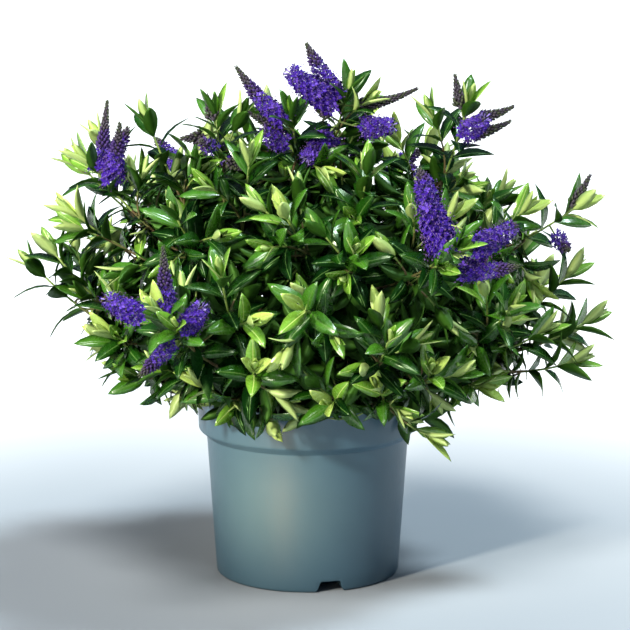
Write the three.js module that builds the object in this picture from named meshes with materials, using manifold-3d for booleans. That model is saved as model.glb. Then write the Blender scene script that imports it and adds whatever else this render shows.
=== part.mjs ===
// A flowering hebe shrub in its plastic nursery pot, built as separate closed solids: the pot, the filled
// root ball, a short woody stem, one bough for each mass of foliage, and the masses themselves.
// Millimetres, +Z up. The origin is the centre of the pot's flat underside, and -Y is the front.
// A direction from the fork is a bearing, turned from +X towards +Y, and a rise above the horizontal.
import * as THREE from 'three';
import { mergeVertices } from 'three/addons/utils/BufferGeometryUtils.js';
import Module from 'manifold-3d';

const wasm = await Module();
wasm.setup();

// ---------------------------------------------------------------- driving dimensions (mm and degrees)

const clearance = 0.3; // between solids that touch

const pot = {
  height: 187,
  rimRadius: 112.5,
  collarRadius: 111, // at the collar's lower edge
  collarFoot: 150.5, // height of that edge
  wallTopRadius: 103,
  wallTop: 143.5,
  footRadius: 93.5,
  footRound: 3.5,
  lipRound: 0.6,
  wall: 2.2,
  floor: 3,
  sides: 40,
};

const drain = {
  count: 3,
  bearing: -75.7,
  widthBelow: 29.5,
  widthAbove: 20,
  height: 11.8,
  innerEnd: 62, // distance of the channel's blind end from the axis
  housingEnd: 90.5, // where the channel's own walls have met the pot's
  holeRadius: 4.5,
  holeSides: 12,
  holeAt: 77, // distance of the hole's middle from the axis
};

const soil = { crownHeight: 172, edgeHeight: 168, flatRadius: 22 };

const stem = {
  height: 50,
  flareRadius: 13, // at the soil
  neckRadius: 8.4, // where the root flare has run out
  topRadius: 7,
  flareShare: 0.3, // of the height
  lean: 3,
  sides: 10,
  steps: 6,
};

const fork = new THREE.Vector3(0, 0, 205); // the point that the boughs and masses spread from

// Rings of masses. boughReach is how far from the fork a ring's boughs end, and footHeight and footStep
// set the height on the stem where they leave it, step by step round the ring.
const rings = [
  { name: 'skirt', count: 7, rise: 11, turn: -117, boughReach: 118, footHeight: 190, footStep: 7 },
  { name: 'shoulder', count: 5, rise: 46, turn: -68, boughReach: 122, footHeight: 208, footStep: 3 },
  { name: 'crest', count: 1, rise: 88, turn: -90, boughReach: 126, footHeight: 216, footStep: 0 },
];

const bough = {
  footRadius: 3.2,
  tipRadius: 2.5,
  straightShare: 0.55, // of its length, at the end, that runs along the mass's axis
  sides: 6,
  steps: 4,
};

const crown = {
  shoots: 74,
  lowestRise: -10,
  highestRise: 89,
  domeReach: 266, // of the shoots' tips, at the sides
  topReach: -6, // added towards the top
  depth: 0.95, // reach to the front and back, as a share of that to the sides
  skirtReach: 150, // of the lowest tips
  skirtRise: -12.5, // where the reach is least
  domeRise: 26.5, // from where the reach is full
  lopsided: 3.5, // the right side carries its reach this much lower
  scatter: 4, // of the tips' bearings and rises
  reachScatter: 12,
  outerReach: 372, // the furthest from the fork that anything stands
  gap: 1.2, // between neighbouring masses
  boughGap: 4, // between a bough's end and the nearest leaf
  potGap: 1.5, // between the pot and the nearest leaf
  seed: 4128,
  seedStep: 31, // from one mass to the next
};

// How low the foliage hangs round the pot: bearing, and height above the floor.
const hem = [
  [-180, 190], [-165, 198], [-150, 190], [-135, 186], [-122, 170], [-98, 170], [-88, 186], [-58, 188],
  [-50, 148], [-34, 152], [-26, 180], [0, 188], [60, 176], [120, 176], [180, 190],
];

// The dense heart of each mass, which its shoots and leaves stand out of.
const core = {
  middle: 0.61, // distance from the fork, as a share of the dome's reach
  radius: 105,
  reachShare: 0.74, // the furthest that a core comes, as a share of the dome's reach
  inset: 8, // from the bounds of the mass's space
  steps: 30, // in which a corner is drawn in
};

const twig = {
  stemFoot: 2.4, // radii of a mass's stem and of its shoots
  stemTip: 1.7,
  foot: 1.6,
  tip: 1.1,
  stemSides: 4,
  sides: 3,
  stemShare: 0.62, // of the dome's reach
  firstFoot: 10, // from the bough's end to the first shoot's foot
  lastFoot: 4, // from the last shoot's foot to the stem's end
  earlyAngle: 24, // a tip this far off the mass's axis has the first foot
  sag: 0.1, // of a shoot's length
};

// Leaf pairs from a shoot's tip downwards, larger than life so that the crown looks full.
const leafPairs = [
  { back: 2, length: 44, width: 15, spread: 27 },
  { back: 20, length: 60, width: 22, spread: 46 },
  { back: 44, length: 68, width: 26, spread: 58 },
  { back: 70, length: 68, width: 26, spread: 64 },
];
const leaf = {
  overhang: 30, // how far leaves stand past their shoot's tip
  thickness: 1.5,
  widest: 0.44, // share of the length
  fold: 0.1, // lift of the edges, as a share of the width
  droop: 0.095, // fall of the tip, as a share of the length
  scatter: 12, // of the turn round the twig
  bareFoot: 14, // length of shoot that carries no leaves
  // Where a leaf would meet another piece, it is turned and scaled in these ways until it doesn't.
  tries: [
    { turn: 0, scale: 1 },
    { turn: 22, scale: 1 },
    { turn: -22, scale: 1 },
    { turn: 0, scale: 0.78 },
    { turn: 0, scale: 0.6 },
  ],
};

const raceme = {
  profile: [[2.5, 0], [13.5, 0.14], [13, 0.46], [7.5, 0.76], [0, 1]], // radius, share beyond the stalk
  bareFoot: 14, // length of the stalk
  budWidth: 0.4, // of a spike that is all in bud, as a share of the full width
  fullShare: 0.6, // the open share from which a spike has its full width
  sides: 5,
  steps: 4,
  sag: 0.13, // of the length
  backs: [16, 34], // distance of the two flowering nodes from the shoot's tip
  // More turn round the shoot, and more rise, where a spike would meet another piece.
  tries: [
    { turn: 0, rise: 0 },
    { turn: 25, rise: 0 },
    { turn: -25, rise: 0 },
    { turn: 0, rise: 18 },
    { turn: 40, rise: 18 },
    { turn: -40, rise: 18 },
    { turn: 0, rise: 32 },
  ],
};

// Flowering shoots of the front, by where their tips stand. A spike has a bearing, a rise, a length,
// the share of it that is open, and its stalk's length where that isn't the usual one.
const frontBlooms = [
  {
    bearing: -161.5, rise: 45, reach: 319, roll: 30,
    spikes: [[60, 77, 72, 0.37, 3], [33, 53, 55, 0.75, 4], [-65, 68, 72, 0.55, 10]],
  },
  {
    bearing: -120, rise: 21.5, reach: 291, roll: 10,
    spikes: [[-153, 24, 67, 0.97, 31], [-103, 80, 73, 0.42], [-52, 36, 52, 1, 20], [-155, -46, 53, 0.5, 8]],
  },
  {
    bearing: -102, rise: 75, reach: 280, roll: 60,
    spikes: [[-170, 48, 84, 0.55], [-167, 22, 48, 0], [-142, 22, 44, 0.9]],
  },
  {
    bearing: -57, rise: 76, reach: 303, roll: 15,
    spikes: [
      [-169, 58.5, 71, 0.66], [-150, 31, 70, 1], [0, 13, 73, 0],
      [-154, 40, 47, 0], [-140, -38, 55, 1], [-31, 0, 60, 1, 26],
    ],
  },
  {
    bearing: -28, rise: 58, reach: 334, roll: 60,
    spikes: [[180, 78, 43, 0], [0, 14, 49, 0], [-54, 27, 44, 1, 12], [-12, 16, 52, 0]],
  },
  {
    bearing: -56, rise: 33, reach: 299, roll: 35,
    spikes: [[-13, 25, 71, 0.9, 28], [180, 72, 85, 0.86, 6], [-20, 1, 80, 0.62, 22]],
  },
  {
    bearing: -15, rise: 33.5, reach: 328, roll: 70,
    spikes: [[0, 58, 47, 0], [-62, -30, 40, 0.55]],
  },
  {
    bearing: -140, rise: 67, reach: 296, roll: 0,
    spikes: [[-171, -11, 36, 0], [180, 74, 36, 0], [-121, 19, 34, 0.5], [-46, -27, 36, 0.1]],
  },
];

// Leafy shoots of the front that shape the outline.
const frontSprays = [
  { bearing: -178, rise: 22, reach: 296, roll: 10 },
  { bearing: -176, rise: 43.5, reach: 313, roll: 0 },
  { bearing: -175, rise: 49.5, reach: 316, roll: 20 },
  { bearing: -172, rise: 27, reach: 286, roll: 70 },
  { bearing: -166, rise: 36, reach: 292, roll: 50 },
  { bearing: -160, rise: 57.7, reach: 310, roll: 20 },
  { bearing: -6, rise: 22, reach: 284, roll: 45 },
  { bearing: -5, rise: 11.7, reach: 288, roll: 40 },
  { bearing: -8, rise: 4, reach: 268, roll: 30 },
  { bearing: -20, rise: 38.3, reach: 286, roll: 60 },
  { bearing: -152, rise: 4, reach: 190, roll: 40 },
  { bearing: -52, rise: -9, reach: 192, roll: 0 },
  { bearing: -103, rise: -6, reach: 160, roll: 45 },
];

// The far side flowers as freely, spread by the golden angle between these rises. The bearings of
// its spikes are from the shoot's own.
const backBlooms = {
  count: 7,
  firstBearing: 40,
  lastBearing: 140,
  lowRise: 18,
  highRise: 50,
  reach: 268,
  spikes: [[52, 45, 68, 0.8], [-60, 20, 60, 0.6], [170, 60, 62, 0.4]],
  rollStep: 20,
};

// ---------------------------------------------------------------- small helpers

const goldenAngle = 180 * (3 - Math.sqrt(5));
const up = new THREE.Vector3(0, 0, 1);
const radians = THREE.MathUtils.degToRad;
const degrees = THREE.MathUtils.radToDeg;
const mix = THREE.MathUtils.lerp;
const mergeWithin = 1e-4; // corners this close are one corner

function direction(bearing, rise) {
  const b = radians(bearing);
  const r = radians(rise);
  return new THREE.Vector3(Math.cos(r) * Math.cos(b), Math.cos(r) * Math.sin(b), Math.sin(r));
}

// A repeatable stream of numbers from 0 to 1.
function seeded(seed) {
  let state = seed;
  return () => {
    state = (state * 48271) % 2147483647;
    return state / 2147483647;
  };
}

function solidOf(geometry) {
  const bare = geometry.index ? geometry.toNonIndexed() : geometry.clone();
  bare.deleteAttribute('normal');
  bare.deleteAttribute('uv');
  const merged = mergeVertices(bare, mergeWithin);
  const vertProperties = new Float32Array(merged.attributes.position.array);
  const triVerts = new Uint32Array(merged.index.array);
  return new wasm.Manifold(new wasm.Mesh({ numProp: 3, vertProperties, triVerts }));
}

function geometryOf(solid) {
  const { vertProperties, triVerts } = solid.getMesh();
  const geometry = new THREE.BufferGeometry();
  geometry.setAttribute('position', new THREE.BufferAttribute(vertProperties, 3));
  geometry.setIndex(new THREE.BufferAttribute(triVerts, 1));
  geometry.computeVertexNormals();
  return geometry;
}

// Joins solids and keeps the main body, so that loose scraps go and sealed hollows are filled.
function fuse(solids) {
  const bodies = wasm.Manifold.union(solids).decompose();
  return bodies.reduce((main, body) => (body.volume() > main.volume() ? body : main));
}

// ---------------------------------------------------------------- limbs

// Carries a geometry built along +Y, from 0 to 1, onto a curve. ringScale gives each height its scale.
function bend(geometry, curve, steps, ringScale) {
  const { normals, binormals } = curve.computeFrenetFrames(steps);
  const points = curve.getSpacedPoints(steps);
  const position = geometry.attributes.position;
  for (let i = 0; i < position.count; i += 1) {
    const t = THREE.MathUtils.clamp(position.getY(i), 0, 1);
    const lower = Math.min(Math.floor(t * steps + mergeWithin), steps - 1);
    const share = t * steps - lower;
    const at = (list) => list[lower].clone().lerp(list[lower + 1], share);
    const scale = ringScale(t);
    const place = at(points)
      .addScaledVector(at(normals).normalize(), position.getX(i) * scale)
      .addScaledVector(at(binormals).normalize(), -position.getZ(i) * scale);
    position.setXYZ(i, place.x, place.y, place.z);
  }
  return geometry;
}

// A closed tapering limb along a curve.
function limb(curve, radiusAt, sides, steps) {
  const tube = new THREE.CylinderGeometry(1, 1, 1, sides, steps).translate(0, 0.5, 0);
  return bend(tube, curve, steps, radiusAt);
}

// ---------------------------------------------------------------- pot and root ball

function lathe(profile) {
  const points = profile.map(([radius, height]) => new THREE.Vector2(radius, height));
  return solidOf(new THREE.LatheGeometry(points, pot.sides).rotateX(Math.PI / 2));
}

const innerFoot = pot.footRadius - pot.wall;
const innerWallTop = pot.wallTopRadius - pot.wall;
const innerCollar = pot.collarRadius - pot.wall;
const innerRim = pot.rimRadius - pot.wall;

// A drain channel's trapezoid, grown by an offset on its sides and top, drawn out along a bearing.
function drainBlock(offset, from, to, bearing) {
  const below = drain.widthBelow / 2 + offset;
  const above = drain.widthAbove / 2 + offset;
  const foot = offset > 0 ? pot.floor / 2 : -pot.floor / 2;
  const section = new THREE.Shape([
    new THREE.Vector2(-below, foot),
    new THREE.Vector2(below, foot),
    new THREE.Vector2(above, drain.height + offset),
    new THREE.Vector2(-above, drain.height + offset),
  ]);
  const block = new THREE.ExtrudeGeometry(section, { depth: to - from, bevelEnabled: false, steps: 1 });
  block.translate(0, 0, from).rotateX(Math.PI / 2).rotateZ(radians(bearing + 90));
  return solidOf(block);
}

const drainStep = 360 / drain.count;
const drainBearings = Array.from({ length: drain.count }, (_, k) => drain.bearing + drainStep * k);

function makePot() {
  const round = pot.footRound;
  const lip = pot.lipRound;
  let made = lathe([
    [0, 0],
    [pot.footRadius - round, 0],
    [pot.footRadius - round * 0.3, round * 0.3],
    [pot.footRadius, round],
    [pot.wallTopRadius, pot.wallTop],
    [pot.collarRadius, pot.collarFoot],
    [pot.rimRadius, pot.height - 2 * lip],
    [pot.rimRadius - lip, pot.height],
    [innerRim + lip, pot.height],
    [innerRim, pot.height - 2 * lip],
    [innerCollar, pot.collarFoot],
    [innerWallTop, pot.wallTop],
    [innerFoot, pot.floor],
    [0, pot.floor],
  ]);
  for (const bearing of drainBearings) {
    const housing = drainBlock(pot.wall, drain.innerEnd - pot.wall, drain.housingEnd, bearing);
    const channel = drainBlock(0, drain.innerEnd, pot.rimRadius, bearing);
    const tall = 2 * drain.height;
    const hole = new THREE.CylinderGeometry(drain.holeRadius, drain.holeRadius, tall, drain.holeSides)
      .rotateX(Math.PI / 2)
      .translate(drain.holeAt, 0, drain.height)
      .rotateZ(radians(bearing));
    made = made.add(housing).subtract(channel).subtract(solidOf(hole));
  }
  return made;
}

function makeRootBall() {
  const gap = 2 * clearance; // wide enough for the flats between the pot's corners
  const collarShare = (soil.edgeHeight - pot.collarFoot) / (pot.height - pot.collarFoot);
  let made = lathe([
    [0, pot.floor + clearance],
    [innerFoot - gap, pot.floor + clearance],
    [innerWallTop - gap, pot.wallTop],
    [innerCollar - gap, pot.collarFoot],
    [mix(innerCollar, innerRim, collarShare) - gap, soil.edgeHeight],
    [soil.flatRadius, soil.crownHeight],
    [0, soil.crownHeight],
  ]);
  for (const bearing of drainBearings) {
    const wall = pot.wall + clearance;
    made = made.subtract(drainBlock(wall, drain.innerEnd - wall, pot.rimRadius, bearing));
  }
  return made;
}

// ---------------------------------------------------------------- stem and boughs

const stemFoot = soil.crownHeight + clearance;
const stemSlope = Math.tan(radians(stem.lean));

// The stem's radius at a share of its height: a root flare, then a slow taper.
function stemRadius(t) {
  const flare = Math.max(1 - t / stem.flareShare, 0);
  const taper = Math.max((t - stem.flareShare) / (1 - stem.flareShare), 0);
  const neck = mix(stem.neckRadius, stem.topRadius, taper);
  return neck + (stem.flareRadius - stem.neckRadius) * flare * flare;
}

// The stem, cut flat at the soil, or with an offset the space that a bough keeps clear of.
function makeStem(offset = 0) {
  const foot = new THREE.Vector3(0, 0, -offset);
  const top = new THREE.Vector3(0, 0, stem.height + offset);
  const upright = new THREE.LineCurve3(foot, top);
  const made = limb(upright, (t) => stemRadius(t) + offset, stem.sides, stem.steps);
  const leaning = new THREE.Matrix4().makeShear(0, 0, 0, 0, stemSlope, 0);
  return solidOf(made.applyMatrix4(leaning).translate(0, 0, stemFoot));
}

// Every mass with its axis from the fork, in ring order.
const masses = rings.flatMap((ring) =>
  Array.from({ length: ring.count }, (_, order) => {
    const name = ring.count > 1 ? `${ring.name}_${order + 1}` : ring.name;
    return { name, ring, order, axis: direction(ring.turn + (360 / ring.count) * order, ring.rise) };
  }),
);

// The point on a mass's axis that is so far from the fork.
function onAxis(mass, distance) {
  return fork.clone().addScaledVector(mass.axis, distance);
}

function makeBough(mass) {
  const height = mass.ring.footHeight + (mass.order % 2) * mass.ring.footStep;
  const foot = new THREE.Vector3(stemSlope * (height - stemFoot), 0, height);
  const end = onAxis(mass, mass.ring.boughReach);
  const knee = end.clone().addScaledVector(mass.axis, -bough.straightShare * end.distanceTo(foot));
  const line = new THREE.QuadraticBezierCurve3(foot, knee, end);
  const whole = limb(line, (t) => mix(bough.footRadius, bough.tipRadius, t), bough.sides, bough.steps);
  return fuse([solidOf(whole).subtract(makeStem(clearance))]);
}

// ---------------------------------------------------------------- the crown's shoots

// How far from the fork the shoots' tips stand, by direction: a dome whose skirt is drawn in.
function reachOf(towards) {
  const aside = towards.x / Math.hypot(towards.x, towards.y);
  const rise = degrees(Math.asin(towards.z)) + crown.lopsided * aside;
  const share = THREE.MathUtils.smoothstep(rise, crown.skirtRise, crown.domeRise);
  const level = mix(crown.skirtReach, crown.domeReach, share) * mix(1, crown.depth, towards.y * towards.y);
  return level + crown.topReach * Math.max(towards.z, 0);
}

// The shoots with a place of their own: the front's flowering ones, the far side's, the front's sprays.
function placedTips() {
  const over = backBlooms.lastBearing - backBlooms.firstBearing;
  const far = Array.from({ length: backBlooms.count }, (_, k) => {
    const bearing = backBlooms.firstBearing + ((k * goldenAngle) % over);
    return {
      bearing,
      rise: mix(backBlooms.lowRise, backBlooms.highRise, k / (backBlooms.count - 1)),
      reach: backBlooms.reach,
      roll: backBlooms.rollStep * k,
      spikes: backBlooms.spikes.map(([turn, ...rest]) => [bearing + turn, ...rest]),
    };
  });
  const leafy = frontSprays.map((spray) => ({ ...spray, spikes: [] }));
  return [...frontBlooms, ...far, ...leafy];
}

// The tips spread evenly over the dome by the golden angle. A placed shoot takes the nearest one's place.
function shootTips() {
  const random = seeded(crown.seed);
  const lowest = Math.sin(radians(crown.lowestRise));
  const tips = [];
  for (let k = 0; k < crown.shoots; k += 1) {
    const level = 1 - ((k + 0.5) / crown.shoots) * (1 - lowest);
    const rise = degrees(Math.asin(level)) + crown.scatter * (random() - 0.5);
    const bearing = k * goldenAngle + crown.scatter * (random() - 0.5);
    const towards = direction(bearing, Math.min(rise, crown.highestRise));
    const reach = reachOf(towards) + crown.reachScatter * (random() - 0.5);
    tips.push({ towards, reach, spikes: [], roll: 180 * random(), placed: false });
  }
  for (const { bearing, rise, ...placed } of placedTips()) {
    const towards = direction(bearing, rise);
    const free = tips.filter((tip) => !tip.placed);
    const nearest = free.reduce((a, b) => (a.towards.dot(towards) > b.towards.dot(towards) ? a : b));
    Object.assign(nearest, { ...placed, towards, placed: true });
  }
  return tips;
}

const tips = shootTips();

function nearestMass(towards) {
  return masses.reduce((a, b) => (a.axis.dot(towards) > b.axis.dot(towards) ? a : b));
}

// The hem's height at a point's bearing.
function hemUnder(point) {
  const bearing = degrees(Math.atan2(point.y, point.x));
  const next = Math.max(hem.findIndex(([at]) => at >= bearing), 1);
  const [[before, low], [after, high]] = [hem[next - 1], hem[next]];
  return mix(low, high, (bearing - before) / (after - before));
}

// A point belongs to a mass if it lies on that mass's side of the plane halfway to every other mass,
// beyond the boughs, no further from the fork than it may, over the hem and clear of the pot.
function inSpace(mass, point, furthest) {
  const from = point.clone().sub(fork);
  const distance = from.length();
  const inOwnPart = masses.every((other) => {
    const across = mass.axis.clone().sub(other.axis).normalize();
    return other === mass || from.dot(across) > crown.gap / 2;
  });
  const beyondBoughs = distance > mass.ring.boughReach + crown.boughGap;
  const aside = Math.hypot(point.x, point.y) > pot.rimRadius + crown.potGap;
  const clearOfPot = aside || point.z > pot.height + crown.potGap;
  return inOwnPart && beyondBoughs && distance < furthest && point.z > hemUnder(point) && clearOfPot;
}

// True if every corner, and the points halfway from the corners to their middle, lie in the mass's space.
function fits(mass, geometry, furthest) {
  const position = geometry.attributes.position;
  const cornerAt = (_, i) => new THREE.Vector3().fromBufferAttribute(position, i);
  const corners = Array.from({ length: position.count }, cornerAt);
  const middle = new THREE.Vector3();
  corners.forEach((corner) => middle.addScaledVector(corner, 1 / corners.length));
  const points = corners.flatMap((corner) => [corner, corner.clone().lerp(middle, 0.5)]);
  return points.every((point) => inSpace(mass, point, furthest));
}

// ---------------------------------------------------------------- leaves and flower spikes

// Axes for a piece that grows along +Y with its upper face towards +Z.
function growAlong(along, face) {
  const across = new THREE.Vector3().crossVectors(along, face).normalize();
  const upper = new THREE.Vector3().crossVectors(across, along);
  return new THREE.Matrix4().makeBasis(across, along, upper);
}

// The direction that leans from a shoot's line towards one side by an angle.
function lean(tangent, side, angle) {
  const spread = radians(angle);
  return tangent.clone().multiplyScalar(Math.cos(spread)).addScaledVector(side, Math.sin(spread));
}

// A lance-shaped leaf of eight faces, folded a little along its midrib, with its tip bent down.
// Its foot is a point, which stands on the middle line of the twig.
function leafGeometry(size) {
  const blade = new THREE.OctahedronGeometry(1);
  const position = blade.attributes.position;
  for (let i = 0; i < position.count; i += 1) {
    const [x, y, z] = [position.getX(i), position.getY(i), position.getZ(i)];
    const along = Math.abs(y) > 0.5 ? (y + 1) / 2 : leaf.widest;
    const lift = leaf.fold * size.width * Math.abs(x) - leaf.droop * size.length * along * along;
    position.setXYZ(i, (x * size.width) / 2, along * size.length, (z * leaf.thickness) / 2 + lift);
  }
  return blade;
}

function placeLeaf(size, root, tangent, side) {
  const along = lean(tangent, side, size.spread);
  const face = lean(tangent, side, size.spread - 90);
  return leafGeometry(size).applyMatrix4(growAlong(along, face).setPosition(root));
}

// A flower spike: a slim stalk, a full middle and a tapering tip, turned up towards the light. One that
// is still in bud is slim all along.
function placeRaceme(root, towards, length, open, bareFoot) {
  const end = root.clone().addScaledVector(towards, length);
  const knee = root.clone().lerp(end, 0.5).addScaledVector(up, -raceme.sag * length);
  const line = new THREE.QuadraticBezierCurve3(root, knee, end);
  const width = mix(raceme.budWidth, 1, Math.min(open / raceme.fullShare, 1));
  const beyond = raceme.profile.map(([radius, share]) => {
    return new THREE.Vector2(radius * width, mix(bareFoot / length, 1, share));
  });
  const spike = new THREE.LatheGeometry([new THREE.Vector2(0, 0), ...beyond], raceme.sides);
  return bend(spike, line, raceme.steps, () => 1);
}

// ---------------------------------------------------------------- masses of foliage

// A lump that fills the inner part of the mass's space. Each corner goes out as far as the space allows.
function makeCore(mass) {
  const middle = onAxis(mass, core.middle * reachOf(mass.axis));
  const lump = new THREE.IcosahedronGeometry(1, 1);
  const position = lump.attributes.position;
  for (let i = 0; i < position.count; i += 1) {
    const towards = new THREE.Vector3().fromBufferAttribute(position, i).normalize();
    let radius = core.radius;
    for (let step = 0; step < core.steps; step += 1) {
      const corner = middle.clone().addScaledVector(towards, radius + core.inset);
      const from = corner.clone().sub(fork);
      const furthest = core.reachShare * reachOf(from.clone().normalize());
      if (inSpace(mass, corner, furthest + core.inset)) break;
      radius -= core.radius / core.steps;
    }
    position.setXYZ(i, ...middle.clone().addScaledVector(towards, Math.max(radius, core.inset)).toArray());
  }
  return solidOf(lump);
}

// A shoot leaves its mass's stem, early if it ends far from the axis, and turns up halfway to its tip.
function shootLine(mass, tip, stemEnd) {
  const end = fork.clone().addScaledVector(tip.towards, tip.reach);
  const early = Math.min(degrees(tip.towards.angleTo(mass.axis)) / twig.earlyAngle, 1);
  const foot = onAxis(mass, mix(stemEnd - twig.lastFoot, mass.ring.boughReach + twig.firstFoot, early));
  const knee = foot.clone().lerp(end, 0.5);
  knee.addScaledVector(up, -twig.sag * foot.distanceTo(end) * Math.cos(radians(mass.ring.rise)));
  const line = new THREE.CurvePath();
  line.add(new THREE.LineCurve3(foot, knee));
  line.add(new THREE.LineCurve3(knee, end));
  return line;
}

// The place of a node that lies so far back from a shoot's tip, and the shoot's direction there.
function nodeAt(shoot, back) {
  const t = 1 - back / shoot.length;
  return { root: shoot.line.getPointAt(t), tangent: shoot.line.getTangentAt(t) };
}

// The two opposite directions square to the shoot that a pair takes at one node.
function pairSides(tangent, roll) {
  const level = new THREE.Vector3().crossVectors(tangent, up).normalize();
  const first = level.applyAxisAngle(tangent, radians(roll));
  return [first, first.clone().negate()];
}

// True if a solid meets any of the others.
function meets(solid, others) {
  const a = solid.boundingBox();
  return others.some((other) => {
    const b = other.boundingBox();
    const apart = [0, 1, 2].some((axis) => a.max[axis] < b.min[axis] || b.max[axis] < a.min[axis]);
    return !apart && !solid.intersect(other).isEmpty();
  });
}

// Adds a piece in the first of some ways that keeps to the mass's space and meets none of the others.
// Where none does, the piece is skipped.
function addWhereItFits(grown, mass, ways, others, furthest) {
  for (const way of ways) {
    const geometry = way();
    if (fits(mass, geometry, furthest)) {
      const solid = solidOf(geometry);
      if (!meets(solid, [...others, ...grown])) {
        grown.push(solid);
        return;
      }
    }
  }
}

// The first half of a shoot's spikes, or one more, leave its upper flowering node, the rest its lower.
function growRacemes(grown, mass, shoot) {
  const { spikes } = shoot.tip;
  spikes.forEach(([bearing, rise, length, open, bareFoot = raceme.bareFoot], k) => {
    const { root } = nodeAt(shoot, raceme.backs[k < Math.ceil(spikes.length / 2) ? 0 : 1]);
    const ways = raceme.tries.map((more) => () => {
      const towards = direction(bearing + more.turn, rise + more.rise);
      return placeRaceme(root, towards, length, open, bareFoot);
    });
    addWhereItFits(grown, mass, ways, shoot.others, crown.outerReach);
  });
}

function growLeaves(grown, mass, shoot, random) {
  const furthest = shoot.tip.reach + leaf.overhang;
  leafPairs.forEach((size, pair) => {
    const { root, tangent } = nodeAt(shoot, Math.min(size.back, shoot.length));
    for (const side of pairSides(tangent, shoot.tip.roll + 90 * pair)) {
      const turn = leaf.scatter * (random() - 0.5);
      const ways = leaf.tries.map((more) => () => {
        const turned = side.clone().applyAxisAngle(tangent, radians(turn + more.turn));
        const scaled = { ...size, length: size.length * more.scale, width: size.width * more.scale };
        return placeLeaf(scaled, root, tangent, turned);
      });
      const isLeafy = size.back < shoot.length - leaf.bareFoot;
      if (isLeafy) addWhereItFits(grown, mass, ways, shoot.others, furthest);
    }
  });
}

// A mass is one stem, the shoots that end in its part of the dome, and their flower spikes and leaves.
function makeMass(mass, order) {
  const random = seeded(crown.seed + crown.seedStep * (order + 1));
  const stemEnd = twig.stemShare * reachOf(mass.axis);
  const axis = new THREE.LineCurve3(onAxis(mass, mass.ring.boughReach + clearance), onAxis(mass, stemEnd));
  const massStem = solidOf(limb(axis, (t) => mix(twig.stemFoot, twig.stemTip, t), twig.stemSides, 1));
  const shoots = [];
  for (const tip of tips.filter((each) => nearestMass(each.towards) === mass)) {
    const line = shootLine(mass, tip, stemEnd);
    const body = limb(line, (t) => mix(twig.foot, twig.tip, t), twig.sides, line.curves.length);
    if (fits(mass, body, crown.outerReach)) {
      shoots.push({ tip, line, length: line.getLength(), solid: solidOf(body) });
    }
  }
  for (const shoot of shoots) {
    shoot.others = [massStem, ...shoots.filter((other) => other !== shoot).map((other) => other.solid)];
  }
  const grown = [];
  for (const shoot of shoots) growRacemes(grown, mass, shoot);
  for (const shoot of shoots) growLeaves(grown, mass, shoot, random);
  return fuse([massStem, makeCore(mass), ...shoots.map((shoot) => shoot.solid), ...grown]);
}

// ---------------------------------------------------------------- the object

const materials = {
  pot: new THREE.MeshStandardMaterial({ color: 0x5f7d85, roughness: 0.55, metalness: 0 }),
  soil: new THREE.MeshStandardMaterial({ color: 0x2a1d14, roughness: 1, metalness: 0 }),
  bark: new THREE.MeshStandardMaterial({ color: 0x6a4c2e, roughness: 0.9, metalness: 0 }),
  foliage: new THREE.MeshStandardMaterial({ color: 0x3f7a22, roughness: 0.45, metalness: 0 }),
};

function mesh(name, solid, material) {
  const made = new THREE.Mesh(geometryOf(solid), material);
  made.name = name;
  return made;
}

const shrub = new THREE.Group();
shrub.add(mesh('pot', makePot(), materials.pot));
shrub.add(mesh('root_ball', makeRootBall(), materials.soil));
shrub.add(mesh('stem', makeStem(), materials.bark));
masses.forEach((mass, order) => {
  shrub.add(mesh(`bough_${mass.name}`, makeBough(mass), materials.bark));
  shrub.add(mesh(`foliage_${mass.name}`, makeMass(mass, order), materials.foliage));
});

export default shrub;
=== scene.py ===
# A flowering hebe in its nursery pot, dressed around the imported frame. Metres, +Z up, the front is -Y.
import math

import bmesh
import bpy
import numpy as np
from mathutils import Matrix, Vector, noise


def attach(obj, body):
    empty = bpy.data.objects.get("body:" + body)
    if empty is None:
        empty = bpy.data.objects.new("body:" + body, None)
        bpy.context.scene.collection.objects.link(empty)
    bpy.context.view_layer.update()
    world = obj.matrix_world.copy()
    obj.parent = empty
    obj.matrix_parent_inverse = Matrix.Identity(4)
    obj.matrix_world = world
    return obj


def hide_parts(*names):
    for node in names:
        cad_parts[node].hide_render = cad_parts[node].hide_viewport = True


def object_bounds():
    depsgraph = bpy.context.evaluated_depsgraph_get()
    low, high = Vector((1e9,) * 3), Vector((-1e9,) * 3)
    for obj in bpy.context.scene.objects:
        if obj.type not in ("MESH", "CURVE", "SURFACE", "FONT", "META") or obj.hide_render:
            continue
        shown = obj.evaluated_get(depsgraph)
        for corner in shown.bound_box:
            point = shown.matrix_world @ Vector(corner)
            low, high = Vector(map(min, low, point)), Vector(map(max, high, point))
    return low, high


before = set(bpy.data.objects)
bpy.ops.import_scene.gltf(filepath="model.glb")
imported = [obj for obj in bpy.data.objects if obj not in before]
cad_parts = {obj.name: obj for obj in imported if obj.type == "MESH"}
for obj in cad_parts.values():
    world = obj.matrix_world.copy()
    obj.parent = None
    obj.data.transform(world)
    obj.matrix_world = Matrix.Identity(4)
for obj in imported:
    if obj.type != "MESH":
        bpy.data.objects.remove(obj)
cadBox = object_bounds()
print("frame loaded,", len(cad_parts), "nodes")

scene = bpy.context.scene
up = Vector((0, 0, 1))
goldenAngle = math.radians(180 * (3 - math.sqrt(5)))


def mix(a, b, share):
    return a + (b - a) * share


def direction(bearing, rise):  # degrees, from +X towards +Y and above the level
    b, r = math.radians(bearing), math.radians(rise)
    return Vector((math.cos(r) * math.cos(b), math.cos(r) * math.sin(b), math.sin(r)))


def seeded(seed):  # a repeatable stream of numbers from 0 to 1
    state, factor, modulus = seed, 48271, 2147483647

    def draw():
        nonlocal state
        state = (state * factor) % modulus
        return state / modulus

    return draw


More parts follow.
